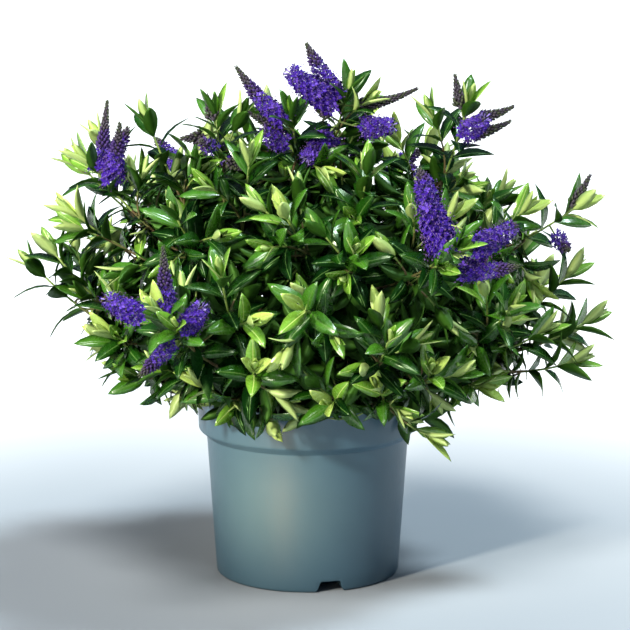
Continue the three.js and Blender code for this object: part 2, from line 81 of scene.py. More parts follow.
def ringOf(radius, height, count, shift=0):  # corners round the Z axis, turned by a share of a step
    turns = [2 * math.pi * (k + shift) / count for k in range(count)]
    return [(radius * math.cos(turn), radius * math.sin(turn), height) for turn in turns]


def newObject(name, data):
    made = bpy.data.objects.new(name, data)
    scene.collection.objects.link(made)
    return made


def meshObject(name, corners, faces):
    mesh = bpy.data.meshes.new(name)
    mesh.from_pydata(corners, [], faces)
    return newObject(name, mesh)


def setInputs(node, values):
    for socketName, value in values.items():
        node.inputs[socketName].default_value = value


def join(source, output, target, entry):  # links two nodes of one tree
    source.id_data.links.new(source.outputs[output], target.inputs[entry])


def newNodes(tree, *kinds):
    return [tree.nodes.new("ShaderNode" + kind) for kind in kinds]


def newBlend(tree, colours=()):  # a mix of two colours
    [blend] = newNodes(tree, "Mix")
    blend.data_type = "RGBA"
    setInputs(blend, {name: (*colour, 1) for name, colour in zip("AB", colours)})
    return blend


def newSurface(name, colour, values):  # a material and its Principled shader
    material = bpy.data.materials.new(name)
    material.use_nodes = True
    material.diffuse_color = (*colour, 1)
    shader = material.node_tree.nodes["Principled BSDF"]
    setInputs(shader, {"Base Color": (*colour, 1), **values})
    return material, shader


# Camera, floor and soft studio light

view = {
    "place": (0.0077, -2.6, 0.745),
    "pitch": 10.45,  # degrees below the level
    "lens": 148.7,
    "sensor": 36.0,
    "clipEnd": 60,
}

studio = {
    "floorSize": 40.0,
    "floorPaintedShade": (0.30, 0.325, 0.35),  # painted shade under and round the pot
    "floorFar": (0.91, 0.88, 0.85),
    "floorBlend": (0.25, 1.3),  # metres from the pot
    "paper": {"Roughness": 0.9, "Specular IOR Level": 0.1},
    "skyLow": (0.015, 0.035, 0.070),
    "skyHigh": (0.26, 0.33, 0.42),
    "key": {  # a spot from the front left whose edge fades over the pot's foot
        "bearing": -131,
        "rise": 16,
        "distance": 2.3,
        "aimHeight": 0.50,
        "power": 375,
        "cone": 29,
        "blend": 0.6,
        "radius": 0.11,
        "colour": (1.0, 0.93, 0.80),
    },
    "band": {  # a narrow spot that picks out the pot's left front
        "bearing": -117,
        "rise": 3,
        "distance": 1.6,
        "aimHeight": 0.092,
        "power": 240,
        "cone": 6.4,
        "blend": 1.0,
        "radius": 0.05,
        "colour": (1.0, 0.62, 0.31),
    },
    "top": {"bearing": -100, "rise": 62, "strength": 3.2, "angle": 20, "colour": (1.0, 0.99, 0.95)},
    "side": {"bearing": 8, "rise": 62, "strength": 3.7, "angle": 14, "colour": (0.78, 0.92, 1.0)},
    "sunDistance": 3,
}


def setUpCamera():
    data = bpy.data.cameras.new("mainCamera")
    data.lens = view["lens"]
    data.sensor_width = view["sensor"]
    data.clip_end = view["clipEnd"]
    camera = newObject("mainCamera", data)
    camera.location = view["place"]
    camera.rotation_euler = (math.radians(90 - view["pitch"]), 0, 0)
    scene.camera = camera


def setUpSky():  # dim round the horizon, soft light from above
    world = bpy.data.worlds.new("studioSky")
    world.use_nodes = True
    place, apart = newNodes(world.node_tree, "TexCoord", "SeparateXYZ")
    sky = newBlend(world.node_tree, (studio["skyLow"], studio["skyHigh"]))
    join(place, "Generated", apart, "Vector")
    join(apart, "Z", sky, "Factor")
    join(sky, "Result", world.node_tree.nodes["Background"], "Color")
    scene.world = world


def setUpFloor():  # pale paper with painted shade round the pot, lighter away from it
    half = studio["floorSize"] / 2
    corners = [(-half, -half, 0), (half, -half, 0), (half, half, 0), (-half, half, 0)]
    floor = meshObject("paleFloor", corners, [(0, 1, 2, 3)])
    paper, shader = newSurface("palePaper", studio["floorFar"], studio["paper"])
    place, distance, spread = newNodes(paper.node_tree, "TexCoord", "VectorMath", "MapRange")
    distance.operation = "LENGTH"
    spread.interpolation_type = "SMOOTHSTEP"
    setInputs(spread, dict(zip(("From Min", "From Max"), studio["floorBlend"])))
    # painted shade round the pot fades out into the pale paper
    blend = newBlend(paper.node_tree, (studio["floorPaintedShade"], studio["floorFar"]))
    join(place, "Object", distance, "Vector")
    join(distance, "Value", spread, "Value")
    join(spread, "Result", blend, "Factor")
    join(blend, "Result", shader, "Base Color")
    floor.data.materials.append(paper)


def placeLamp(name, data, look, aim, distance):
    data.color = look["colour"]
    lamp = newObject(name, data)
    towards = direction(look["bearing"], look["rise"])
    lamp.location = aim + towards * distance
    lamp.rotation_euler = (-towards).to_track_quat("-Z", "Y").to_euler()


def setUpLamps():
    for name in ("key", "band"):
        spot = studio[name]
        data = bpy.data.lights.new(name + "Lamp", "SPOT")
        data.energy = spot["power"]
        data.spot_size = math.radians(spot["cone"])
        data.spot_blend = spot["blend"]
        data.shadow_soft_size = spot["radius"]
        placeLamp(name + "Lamp", data, spot, up * spot["aimHeight"], spot["distance"])
    for name in ("top", "side"):
        sun = studio[name]
        data = bpy.data.lights.new(name + "Lamp", "SUN")
        data.energy = sun["strength"]
        data.angle = math.radians(sun["angle"])
        placeLamp(name + "Lamp", data, sun, up, studio["sunDistance"])
    scene.view_settings.view_transform = "Standard"
    scene.view_settings.look = "None"


setUpCamera()
setUpSky()
setUpFloor()
setUpLamps()
print("camera and studio ready")


# Shader groups that several finishes share

def newGroup(name, inputs, outputs):  # an input's kind goes by its first value
    group = bpy.data.node_groups.new(name, "ShaderNodeTree")
    for socketName, value in inputs.items():
        kind = "NodeSocketFloat" if isinstance(value, float) else "NodeSocketColor"
        socket = group.interface.new_socket(socketName, in_out="INPUT", socket_type=kind)
        socket.default_value = value
    for socketName, kind in outputs.items():
        group.interface.new_socket(socketName, in_out="OUTPUT", socket_type=kind)
    return group, group.nodes.new("NodeGroupInput"), group.nodes.new("NodeGroupOutput")


def makeDriftGroup():  # one colour drifts into another in soft patches
    grey = (0.5, 0.5, 0.5, 1)
    values = {"First": grey, "Second": grey, "Scale": 20.0, "Detail": 3.0, "Low": 0.35, "High": 0.65}
    group, given, result = newGroup("colourDrift", values, {"Colour": "NodeSocketColor"})
    place, cloud, spread = newNodes(group, "TexCoord", "TexNoise", "MapRange")
    blend = newBlend(group)
    join(place, "Object", cloud, "Vector")
    join(given, "Scale", cloud, "Scale")
    join(given, "Detail", cloud, "Detail")
    join(cloud, "Fac", spread, "Value")
    join(given, "Low", spread, "From Min")
    join(given, "High", spread, "From Max")
    join(spread, "Result", blend, "Factor")
    join(given, "First", blend, "A")
    join(given, "Second", blend, "B")
    join(blend, "Result", result, "Colour")
    return group


def makeGrainGroup():  # a fine relief, drawn out along Z where Stretch is over 1
    values = {"Scale": 300.0, "Detail": 4.0, "Stretch": 1.0, "Low": 0.3, "High": 0.7,
              "Rough Low": 0.4, "Rough High": 0.5}
    outputs = {"Height": "NodeSocketFloat", "Roughness": "NodeSocketFloat"}
    group, given, result = newGroup("fineGrain", values, outputs)
    place, apart, shrink, together = newNodes(group, "TexCoord", "SeparateXYZ", "Math", "CombineXYZ")
    grain, spread = newNodes(group, "TexNoise", "MapRange")
    shrink.operation = "DIVIDE"
    join(place, "Object", apart, "Vector")
    join(apart, "X", together, "X")
    join(apart, "Y", together, "Y")
    join(apart, "Z", shrink, 0)
    join(given, "Stretch", shrink, 1)
    join(shrink, "Value", together, "Z")
    join(together, "Vector", grain, "Vector")
    join(given, "Scale", grain, "Scale")
    join(given, "Detail", grain, "Detail")
    join(grain, "Fac", spread, "Value")
    join(given, "Low", spread, "From Min")
    join(given, "High", spread, "From Max")
    join(given, "Rough Low", spread, "To Min")
    join(given, "Rough High", spread, "To Max")
    join(grain, "Fac", result, "Height")
    join(spread, "Result", result, "Roughness")
    return group


driftGroup = makeDriftGroup()
grainGroup = makeGrainGroup()


def putGroup(tree, group, values):
    [node] = newNodes(tree, "Group")
    node.node_tree = group
    setInputs(node, values)
    return node


def addGrain(shader, look, dull=0):
    low, high = look["rough"]
    grain = putGroup(shader.id_data, grainGroup, {
        "Scale": look["grainScale"],
        "Stretch": look.get("stretch", 1.0),
        "Rough Low": low + dull,
        "Rough High": high + dull,
    })
    join(grain, "Roughness", shader, "Roughness")
    return grain


def newFinish(name, look):  # a Principled finish with drifting colour and a fine grain
    material, shader = newSurface(name, look["first"], {"Specular IOR Level": look["gloss"]})
    drift = putGroup(material.node_tree, driftGroup, {
        "First": (*look["first"], 1),
        "Second": (*look["second"], 1),
        "Scale": look["driftScale"],
    })
    join(drift, "Colour", shader, "Base Color")
    grain = addGrain(shader, look)
    if "bump" in look:
        [bump] = newNodes(material.node_tree, "Bump")
        setInputs(bump, {"Strength": look["bump"], "Distance": look["bumpDepth"]})
        join(grain, "Height", bump, "Height")
        join(bump, "Normal", shader, "Normal")
    return material


print("shader groups ready")


# Meshes are gathered as arrays: corners, the corners of each face, face sizes and face finishes

def closedSkin(sides, rings):  # faces over rings of corners, from a hub corner to another
    steps = [(k, (k + 1) % sides) for k in range(sides)]
    last = 1 + (rings - 1) * sides
    faces = [(0, 1 + after, 1 + k) for k, after in steps]
    for low in range(1, last, sides):
        high = low + sides
        faces += [(low + k, low + after, high + after, high + k) for k, after in steps]
    return faces + [(last + sides, last + k, last + after) for k, after in steps]


def newBatch():
    return {"corners": [], "loops": [], "sizes": [], "shades": [], "count": 0}


def shapeOf(corners, faces, parts=None):
    return {
        "corners": np.array(corners, float),
        "loops": np.array([i for face in faces for i in face], np.int64),
        "sizes": np.array([len(face) for face in faces], np.int64),
        "parts": np.array([0] * len(faces) if parts is None else parts, np.int64),
    }


def addShape(batch, shape, corners, shades):
    batch["corners"].append(corners)
    batch["loops"].append(shape["loops"] + batch["count"])
    batch["sizes"].append(shape["sizes"])
    batch["shades"].append(shades)
    batch["count"] += len(corners)


def stamp(batch, shape, across, along, face, root, shades):  # shades gives each part its finish
    axes = np.array([across, along, face])
    addShape(batch, shape, shape["corners"] @ axes + np.array(root), np.array(shades)[shape["parts"]])


def pieceFrom(batch, name, finishes, sharpAngle=None):
    mesh = bpy.data.meshes.new(name)
    corners = np.concatenate(batch["corners"])
    loops = np.concatenate(batch["loops"])
    sizes = np.concatenate(batch["sizes"])
    starts = np.concatenate([[0], np.cumsum(sizes)[:-1]])
    mesh.vertices.add(len(corners))
    mesh.vertices.foreach_set("co", corners.ravel())
    mesh.loops.add(len(loops))
    mesh.loops.foreach_set("vertex_index", loops.astype(np.int32))
    mesh.polygons.add(len(sizes))
    mesh.polygons.foreach_set("loop_start", starts.astype(np.int32))
    mesh.polygons.foreach_set("material_index", np.concatenate(batch["shades"]).astype(np.int32))
    mesh.update(calc_edges=True)
    for finish in finishes:
        mesh.materials.append(finish)
    mesh.shade_smooth()
    if sharpAngle:
        mesh.set_sharp_from_angle(angle=math.radians(sharpAngle))
    print(name, int(np.sum(sizes - 2)), "triangles")
    return newObject(name, mesh)


def dress(piece, slotName, *nodeNames):  # rides on the one body and stands for these nodes
    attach(piece, "root")
    if nodeNames:
        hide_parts(*nodeNames)


# Tubes along a line of points, closed at both ends

def bezier(foot, control, end, steps):
    shares = np.linspace(0, 1, steps + 1)[:, None]
    foot, control, end = (np.array(p) for p in (foot, control, end))
    return (1 - shares) ** 2 * foot + 2 * (1 - shares) * shares * control + shares ** 2 * end


def unit(vectors):
    return vectors / np.maximum(np.linalg.norm(vectors, axis=-1, keepdims=True), 1e-12)


def distancesAlong(points):
    return np.concatenate([[0], np.cumsum(np.linalg.norm(np.diff(points, axis=0), axis=1))])


def framesAlong(points):  # directions, and two sides that turn as little as they can
    forward = unit(np.gradient(points, axis=0))
    start = np.cross(forward[0], (0, 0, 1.0))
    if np.linalg.norm(start) < 0.1:  # nearly upright
        start = np.cross(forward[0], (0, 1.0, 0))
    sides = [unit(start)]
    for tangent in forward[1:]:
        side = sides[-1] - tangent * np.dot(sides[-1], tangent)
        sides.append(unit(side))
    sides = np.array(sides)
    return forward, sides, np.cross(forward, sides)


def addTube(batch, points, radii, sides, shades):  # one radius for each ring, or for each corner
    forward, first, second = framesAlong(points)
    turns = (np.arange(sides) * 2 * math.pi / sides)[None, :, None]
    spokes = first[:, None] * np.cos(turns) + second[:, None] * np.sin(turns)
    radii = np.broadcast_to(np.array(radii, float).reshape(len(points), -1), (len(points), sides))
    rings = points[:, None] + spokes * radii[:, :, None]
    corners = np.concatenate([points[:1], rings.reshape(-1, 3), points[-1:]])
    bands = [shades[min(max(k, 0), len(shades) - 1)] for k in range(-1, len(points))]
    shape = shapeOf(corners, closedSkin(sides, len(points)), np.repeat(bands, sides))
    addShape(batch, shape, shape["corners"], shape["parts"])


# Pot

pot = {
    "height": 0.187,
    "rimRadius": 0.1125,
    "collarRadius": 0.111,
    "collarFoot": 0.1505,
    "wallTopRadius": 0.103,
    "wallTop": 0.1435,
    "footRadius": 0.0935,
    "wall": 0.0022,
    "floor": 0.003,
    "fillets": {"foot": 0.0035, "wallTop": 0.001, "collar": 0.0018, "rim": 0.0011,
                "innerCollar": 0.002, "inside": 0.003},
    "filletShare": 0.45,  # of a straight stretch, the most that one fillet takes
    "filletSteps": 4,
    "sides": 160,
    "wallRings": (0.0165, 0.022, 0.060, 0.105),  # heights, the lowest just over the drains
    "edgeWidth": 0.0004,
    "edgeSegments": 2,
    "edgeAngle": 50,
    "sharpAngle": 27,
}
drain = {
    "count": 3,
    "bearing": -75.7,
    "widthBelow": 0.0295,
    "widthAbove": 0.020,
    "height": 0.0118,
    "cornerRadius": 0.0022,
    "flare": (0.0016, 0.0042),  # how far its foot curves out, and from what height
    "innerEnd": 0.062,
    "housingEnd": 0.0905,
    "holeRadius": 0.0045,
    "holeAt": 0.077,
    "holeTall": 0.03,
    "holeSides": 32,
}
potFinish = {
    "first": (0.045, 0.099, 0.138),
    "second": (0.0505, 0.107, 0.148),
    "driftScale": 12.0,
    "grainScale": 520.0,
    "stretch": 5.0,
    "rough": (0.34, 0.42),
    "bump": 0.10,
    "bumpDepth": 0.0003,
    "gloss": 0.45,
}


def roundedCorner(before, corner, after, radius):  # points of a fillet in a profile
    before, corner, after = (np.array(p, float) for p in (before, corner, after))
    lengths = [np.linalg.norm(end - corner) for end in (before, after)]
    reach = min(radius, *(pot["filletShare"] * length for length in lengths))
    foot, end = corner + unit(before - corner) * reach, corner + unit(after - corner) * reach
    return [tuple(p) for p in bezier(foot, corner, end, pot["filletSteps"])]


def wallRing(height, floor, inset):  # a point on the straight wall, with no fillet
    share = (height - floor) / (pot["wallTop"] - floor)
    return mix(pot["footRadius"], pot["wallTopRadius"], share) - inset, height, 0


def potProfile():
    p, w, fillets = pot, pot["wall"], pot["fillets"]
    corners = [  # radius, height and fillet
        (p["footRadius"], 0, fillets["foot"]),
        *[wallRing(height, 0, 0) for height in p["wallRings"]],
        (p["wallTopRadius"], p["wallTop"], fillets["wallTop"]),
        (p["collarRadius"], p["collarFoot"], fillets["collar"]),
        (p["rimRadius"], p["height"], fillets["rim"]),
        (p["rimRadius"] - w, p["height"], fillets["rim"]),
        (p["collarRadius"] - w, p["collarFoot"], fillets["innerCollar"]),
        (p["wallTopRadius"] - w, p["wallTop"], fillets["inside"]),
        *[wallRing(height, p["floor"], w) for height in reversed(p["wallRings"])],
        (p["footRadius"] - w, p["floor"], fillets["inside"]),
    ]
    outline = [(0, 0)] + [(r, z) for r, z, _ in corners] + [(0, p["floor"])]
    points = [(0, 0)]
    for k, (_, _, fillet) in enumerate(corners, 1):
        points += roundedCorner(*outline[k - 1:k + 2], fillet) if fillet else [outline[k]]
    return points + [(0, p["floor"])]


def latheMesh(name, profile, sides):  # the profile starts and ends on the middle line
    (_, foot), *middle, (_, end) = profile
    corners = [corner for point in middle for corner in ringOf(*point, sides)]
    return meshObject(name, [(0, 0, foot), *corners, (0, 0, end)], closedSkin(sides, len(middle)))


def drainBlock(offset, start, end, bearing):  # the notch's outline drawn out along a bearing
    below, above = drain["widthBelow"] / 2 + offset, drain["widthAbove"] / 2 + offset
    foot = pot["floor"] / 2 if offset > 0 else -pot["floor"] / 2
    top = drain["height"] + offset
    out, flareTop = drain["flare"]
    bend = (mix(below, above, (flareTop - foot) / (top - foot)), flareTop)
    right = [tuple(p) for p in bezier((below + out, foot), (below, 0), bend, pot["filletSteps"])]
    right += roundedCorner(bend, (above, top), (-above, top), drain["cornerRadius"] + offset)
    section = right + [(-y, z) for y, z in reversed(right)]
    turn = Matrix.Rotation(math.radians(bearing), 4, "Z")
    corners = [turn @ Vector((x, y, z)) for x in (start, end) for y, z in section]
    count = len(section)
    faces = [tuple(reversed(range(count))), tuple(range(count, 2 * count))]
    faces += [(k, (k + 1) % count, (k + 1) % count + count, k + count) for k in range(count)]
    return meshObject("drainBlock", corners, faces)


def drainHole(bearing):
    radius, tall = drain["holeRadius"], drain["holeTall"]
    hole = latheMesh("drainHole", [(0, 0), (radius, 0), (radius, tall), (0, tall)], drain["holeSides"])
    turn = Matrix.Rotation(math.radians(bearing), 4, "Z")
    hole.data.transform(Matrix.Translation(turn @ Vector((drain["holeAt"], 0, 0))))
    return hole


def applyModifiers(piece):
    graph = bpy.context.evaluated_depsgraph_get()
    made = bpy.data.meshes.new_from_object(piece.evaluated_get(graph))
    old = piece.data
    piece.modifiers.clear()
    piece.data = made
    bpy.data.meshes.remove(old)


def cutWith(piece, tool, operation):
    step = piece.modifiers.new("cut", "BOOLEAN")
    step.object = tool
    step.operation = operation
    step.solver = "EXACT"
    applyModifiers(piece)
    bpy.data.objects.remove(tool)


def makePot():
    shell = latheMesh("potShell", potProfile(), pot["sides"])
    for k in range(drain["count"]):
        bearing = drain["bearing"] + 360 / drain["count"] * k
        housing = drainBlock(pot["wall"], drain["innerEnd"] - pot["wall"], drain["housingEnd"], bearing)
        cutWith(shell, housing, "UNION")
        channel = drainBlock(0, drain["innerEnd"], pot["rimRadius"], bearing)
        cutWith(shell, channel, "DIFFERENCE")
        cutWith(shell, drainHole(bearing), "DIFFERENCE")
    edges = shell.modifiers.new("softEdges", "BEVEL")
    edges.width = pot["edgeWidth"]
    edges.segments = pot["edgeSegments"]
    edges.limit_method = "ANGLE"
    edges.angle_limit = math.radians(pot["edgeAngle"])
    applyModifiers(shell)
    shell.data.shade_smooth()
    shell.data.set_sharp_from_angle(angle=math.radians(pot["sharpAngle"]))
    shell.data.materials.append(newFinish("slatePlastic", potFinish))
    dress(shell, "pot", "pot")


makePot()
print("pot ready")


# Compost

compost = {
    "crown": 0.172,
    "edge": 0.168,
    "sunk": 0.0012,
    "relief": 0.0022,
    "reliefScale": 90.0,
    "reliefRule": (1.0, 2.0, 4),  # the fractal's fading, steps in scale and octaves
    "rings": 34,
    "sides": 110,
    "gap": 0.0006,  # to the pot
    "edgeDrop": 0.002,
    "floorGap": 0.002,  # over the drains' housings
    "floorShare": 0.12,  # of the wall's taper at that height
    "edgeFade": 8,  # the relief stays full for longer above 1
    "seed": 907,
    "crumbs": 420,
    "crumbSize": (0.0014, 0.0042),
    "crumbReach": 0.96,
    "crumbLong": (0.7, 1.5),  # of its size
    "crumbFlat": 0.7,
    "crumbLift": 0.3,
    "crumbLumps": (0.75, 1.2),
    "crumbSeed": 31,
    "sharpAngle": 60,
}
compostFinish = {
    "first": (0.018, 0.011, 0.007),
    "second": (0.05, 0.031, 0.019),
    "driftScale": 140.0,
    "grainScale": 900.0,
    "rough": (0.85, 1.0),
    "bump": 0.6,
    "bumpDepth": 0.0008,
    "gloss": 0.2,
}


def compostHeight(x, y):
    share = min(math.hypot(x, y) / pot["collarRadius"], 1)
    lump = noise.fractal(Vector((x, y, 0)) * compost["reliefScale"], *compost["reliefRule"])
    level = mix(compost["crown"], compost["edge"], share) - compost["sunk"]
    return level + compost["relief"] * lump * (1 - share ** compost["edgeFade"])


def crumbShape():  # a small irregular lump of twenty faces
    work = bmesh.new()
    bmesh.ops.create_icosphere(work, subdivisions=1, radius=1.0)
    random = seeded(compost["crumbSeed"])
    corners = [tuple(v.co * mix(*compost["crumbLumps"], random())) for v in work.verts]
    faces = [[v.index for v in face.verts] for face in work.faces]
    work.free()
    return shapeOf(corners, faces)


def compostBody(rim):  # sides that follow the pot's wall, and an uneven top
    gap, count = pot["wall"] + compost["gap"], compost["sides"]
    floor = drain["height"] + pot["wall"] + compost["floorGap"]
    floorRadius = mix(pot["footRadius"], pot["wallTopRadius"], compost["floorShare"])
    sides = [
        (floorRadius - gap, floor),
        (pot["wallTopRadius"] - gap, pot["wallTop"]),
        (pot["collarRadius"] - gap, pot["collarFoot"]),
        (rim, compost["edge"] - compost["edgeDrop"]),
    ]
    corners = [(0, 0, floor)]
    for radius, height in sides:
        corners += ringOf(radius, height, count)
    for ring in range(compost["rings"], 0, -1):  # every other ring is turned by half a step
        level = ringOf(rim * ring / compost["rings"], 0, count, 0.5 * (ring % 2))
        corners += [(x, y, compostHeight(x, y)) for x, y, _ in level]
    corners.append((0, 0, compostHeight(0, 0)))
    return shapeOf(corners, closedSkin(count, len(sides) + compost["rings"]))


def addCrumbs(batch, rim):
    random, lump = seeded(compost["seed"]), crumbShape()
    for _ in range(compost["crumbs"]):
        radius, turn = rim * compost["crumbReach"] * math.sqrt(random()), 2 * math.pi * random()
        x, y = radius * math.cos(turn), radius * math.sin(turn)
        size = mix(*compost["crumbSize"], random() ** 2) / 2
        spin = Matrix.Rotation(2 * math.pi * random(), 3, direction(360 * random(), 90 * random()))
        scales = [[size * mix(*compost["crumbLong"], random())], [size], [size * compost["crumbFlat"]]]
        root = (x, y, compostHeight(x, y) + size * compost["crumbLift"])
        stamp(batch, lump, *(np.array(spin) * np.array(scales)), root, [0])


def makeCompost():
    share = (compost["edge"] - pot["collarFoot"]) / (pot["height"] - pot["collarFoot"])
    rim = mix(pot["collarRadius"], pot["rimRadius"], share) - pot["wall"] - compost["gap"]
    batch, body = newBatch(), compostBody(rim)
    addShape(batch, body, body["corners"], body["parts"])
    addCrumbs(batch, rim)
    finish = newFinish("moistCompost", compostFinish)
    dress(pieceFrom(batch, "compost", [finish], compost["sharpAngle"]), "compost", "root_ball")


makeCompost()
print("compost ready")


# Crown: masses round a fork, with shoots that end evenly over a dome

fork = Vector((0, 0, 0.205))
# boughReach is how far from the fork a ring's boughs end, footHeight where they leave the stem
rings = [
    {"name": "skirt", "count": 7, "rise": 11, "turn": -117,
     "boughReach": 0.118, "footHeight": 0.190, "footStep": 0.007},
    {"name": "shoulder", "count": 5, "rise": 46, "turn": -68,
     "boughReach": 0.122, "footHeight": 0.208, "footStep": 0.003},
    {"name": "crest", "count": 1, "rise": 88, "turn": -90,
     "boughReach": 0.126, "footHeight": 0.216, "footStep": 0},
]
crown = {
    "shoots": 74,
    "fineApart": 3.0,  # degrees from any other tip
    "lowestRise": -10,
    "highestRise": 89,
    "domeReach": 0.266,
    "topReach": -0.006,
    "depth": 0.95,
    "skirtReach": 0.150,
    "skirtRise": -12.5,
    "domeRise": 26.5,
    "lopsided": 3.5,
    "scatter": 4,
    "reachScatter": 0.012,
    "potGap": 0.0015,
    "hem": [  # how low leaves hang: bearing and height
        (-180, 0.190), (-165, 0.198), (-150, 0.190), (-135, 0.186), (-122, 0.170), (-98, 0.170),
        (-88, 0.186), (-58, 0.188), (-50, 0.148), (-34, 0.152), (-26, 0.180), (0, 0.188),
        (60, 0.176), (120, 0.176), (180, 0.190)],
    "boxShare": 0.02,  # how far past the solids' box leaves may stand, as a share of each side
    "seed": 4128,
    "massSeedStep": 31,
    "spikeSeedStep": 7,
}
fineLayers = [  # finer shoots between the main ones, and inner ones that close the crown
    {"count": 185, "turn": 68.75, "reach": (0.88, 1.01), "seed": 6151, "inner": False},
    {"count": 300, "turn": 21, "reach": (0.50, 0.84), "seed": 7207, "inner": True},
]
twig = {
    "stemRadii": (0.0026, 0.0019),
    "radii": (0.0017, 0.0010),
    "fineRadii": (0.0013, 0.0009),
    "stemShare": 0.62,
    "stemSteps": 7,
    "stemSides": 8,
    "overlap": 0.002,  # of a mass's stem over its bough
    "brownShare": 0.3,  # of a main shoot's length
    "barkShare": 0.6,
    "firstFoot": 0.010,
    "lastFoot": 0.004,
    "earlyAngle": 24,
    "sag": 0.10,
    "steps": 10,
    "sides": 6,
    "fineFoot": (0.74, 0.28),  # share along its host where a finer shoot leaves, near and far ones
    "farAngle": 20,
    "ease": 0.42,  # share of its length that a finer shoot first follows its host
    "clusterAngle": 7,  # finer shoots nearer than this to a placed one reach out with it
    "clusterReach": 0.97,  # of its reach
}

# Flowering shoots of the front: bearing, rise, reach, roll and spikes. A spike has a bearing, a rise,
# a length, the share of it that is open, and its bare stalk's length where that isn't the usual one.
frontBlooms = [
    (-161.5, 45, 0.319, 30, [
        (60, 77, 0.072, 0.37, 0.003), (33, 53, 0.055, 0.75, 0.004), (-65, 68, 0.072, 0.55, 0.010)]),
    (-120, 21.5, 0.291, 10, [
        (-153, 24, 0.067, 0.97, 0.031), (-103, 80, 0.073, 0.42),
        (-52, 36, 0.052, 1.0, 0.020), (-155, -46, 0.053, 0.5, 0.008)]),
    (-102, 75, 0.280, 60, [
        (-170, 48, 0.084, 0.55), (-167, 22, 0.048, 0.0), (-142, 22, 0.044, 0.9)]),
    (-57, 76, 0.303, 15, [
        (-169, 58.5, 0.071, 0.66), (-150, 31, 0.070, 1.0), (0, 13, 0.073, 0.0), (-154, 40, 0.047, 0.0),
        (-140, -38, 0.055, 1.0), (-31, 0, 0.060, 1.0, 0.026)]),
    (-28, 58, 0.334, 60, [
        (180, 78, 0.043, 0.0), (0, 14, 0.049, 0.0), (-54, 27, 0.044, 1.0, 0.012), (-12, 16, 0.052, 0.0)]),
    (-56, 33, 0.299, 35, [
        (-13, 25, 0.071, 0.9, 0.028), (180, 72, 0.085, 0.86, 0.006), (-20, 1, 0.080, 0.62, 0.022)]),
    (-15, 33.5, 0.328, 70, [
        (0, 58, 0.047, 0.0), (-62, -30, 0.040, 0.55)]),
    (-140, 67, 0.296, 0, [
        (-171, -11, 0.036, 0.0), (180, 74, 0.036, 0.0), (-121, 19, 0.034, 0.5), (-46, -27, 0.036, 0.1)]),
]
# Leafy shoots of the front that shape the outline: bearing, rise, reach and roll.
frontSprays = [
    (-178, 22, 0.296, 10),
    (-176, 43.5, 0.313, 0),
    (-175, 49.5, 0.316, 20),
    (-172, 27, 0.286, 70),
    (-166, 36, 0.292, 50),
    (-160, 57.7, 0.310, 20),
    (-6, 22, 0.284, 45),
    (-5, 11.7, 0.288, 40),
    (-8, 4, 0.268, 30),
    (-20, 38.3, 0.286, 60),
    (-152, 4, 0.190, 40),
    (-52, -9, 0.192, 0),
    (-103, -6, 0.160, 45),
]
backBlooms = {
    "count": 7,
    "firstBearing": 40,
    "lastBearing": 140,
    "lowRise": 18,
    "highRise": 50,
    "reach": 0.268,
    "rollStep": 20,
    # the spikes' bearings are from the shoot's own
    "spikes": [(52, 45, 0.068, 0.8), (-60, 20, 0.060, 0.6), (170, 60, 0.062, 0.4)],
}


def makeMasses():
    made = []
    for ring in rings:
        for order in range(ring["count"]):
            name = f"{ring['name']}_{order + 1}" if ring["count"] > 1 else ring["name"]
            axis = direction(ring["turn"] + 360 / ring["count"] * order, ring["rise"])
            made.append({"name": name, "ring": ring, "order": order, "axis": axis, "shoots": []})
    return made


masses = makeMasses()
boughNodes = ["bough_" + mass["name"] for mass in masses]
foliageNodes = ["foliage_" + mass["name"] for mass in masses]


def nearestMass(towards):
    return max(masses, key=lambda mass: mass["axis"].dot(towards))


def smoothstep(value, low, high):
    share = min(max((value - low) / (high - low), 0), 1)
    return share * share * (3 - 2 * share)


def reachOf(towards):  # how far from the fork the shoots' tips stand: a dome whose skirt is drawn in
    aside = towards.x / math.hypot(towards.x, towards.y)
    rise = math.degrees(math.asin(towards.z)) + crown["lopsided"] * aside
    share = smoothstep(rise, crown["skirtRise"], crown["domeRise"])
    level = mix(crown["skirtReach"], crown["domeReach"], share) * mix(1, crown["depth"], towards.y ** 2)
    return level + crown["topReach"] * max(towards.z, 0)


def placedTips():
    back, last = [], backBlooms["count"] - 1
    over = backBlooms["lastBearing"] - backBlooms["firstBearing"]
    for k in range(backBlooms["count"]):
        bearing = backBlooms["firstBearing"] + (math.degrees(k * goldenAngle) % over)
        rise = mix(backBlooms["lowRise"], backBlooms["highRise"], k / last)
        spikes = [(bearing + turn, *rest) for turn, *rest in backBlooms["spikes"]]
        back.append((bearing, rise, backBlooms["reach"], backBlooms["rollStep"] * k, spikes))
    return frontBlooms + back + [(*spray, []) for spray in frontSprays]


def spreadTips(count, seed, turn):  # evenly over the dome by the golden angle
    random = seeded(seed)
    lowest = math.sin(math.radians(crown["lowestRise"]))
    made = []
    for k in range(count):
        level = 1 - (k + 0.5) / count * (1 - lowest)
        rise = math.degrees(math.asin(level)) + crown["scatter"] * (random() - 0.5)
        bearing = turn + math.degrees(k * goldenAngle) + crown["scatter"] * (random() - 0.5)
        towards = direction(bearing, min(rise, crown["highestRise"]))
        reach = reachOf(towards) + crown["reachScatter"] * (random() - 0.5)
        made.append({"towards": towards, "reach": reach, "roll": 180 * random(), "spikes": [],
                     "placed": False, "inner": False})
    return made


def mainTips():
    made = spreadTips(crown["shoots"], crown["seed"], 0)
    for bearing, rise, reach, roll, spikes in placedTips():
        towards = direction(bearing, rise)
        free = [tip for tip in made if not tip["placed"]]
        nearest = max(free, key=lambda tip: tip["towards"].dot(towards))
        nearest.update(towards=towards, reach=reach, roll=roll, spikes=spikes, placed=True)
    return made


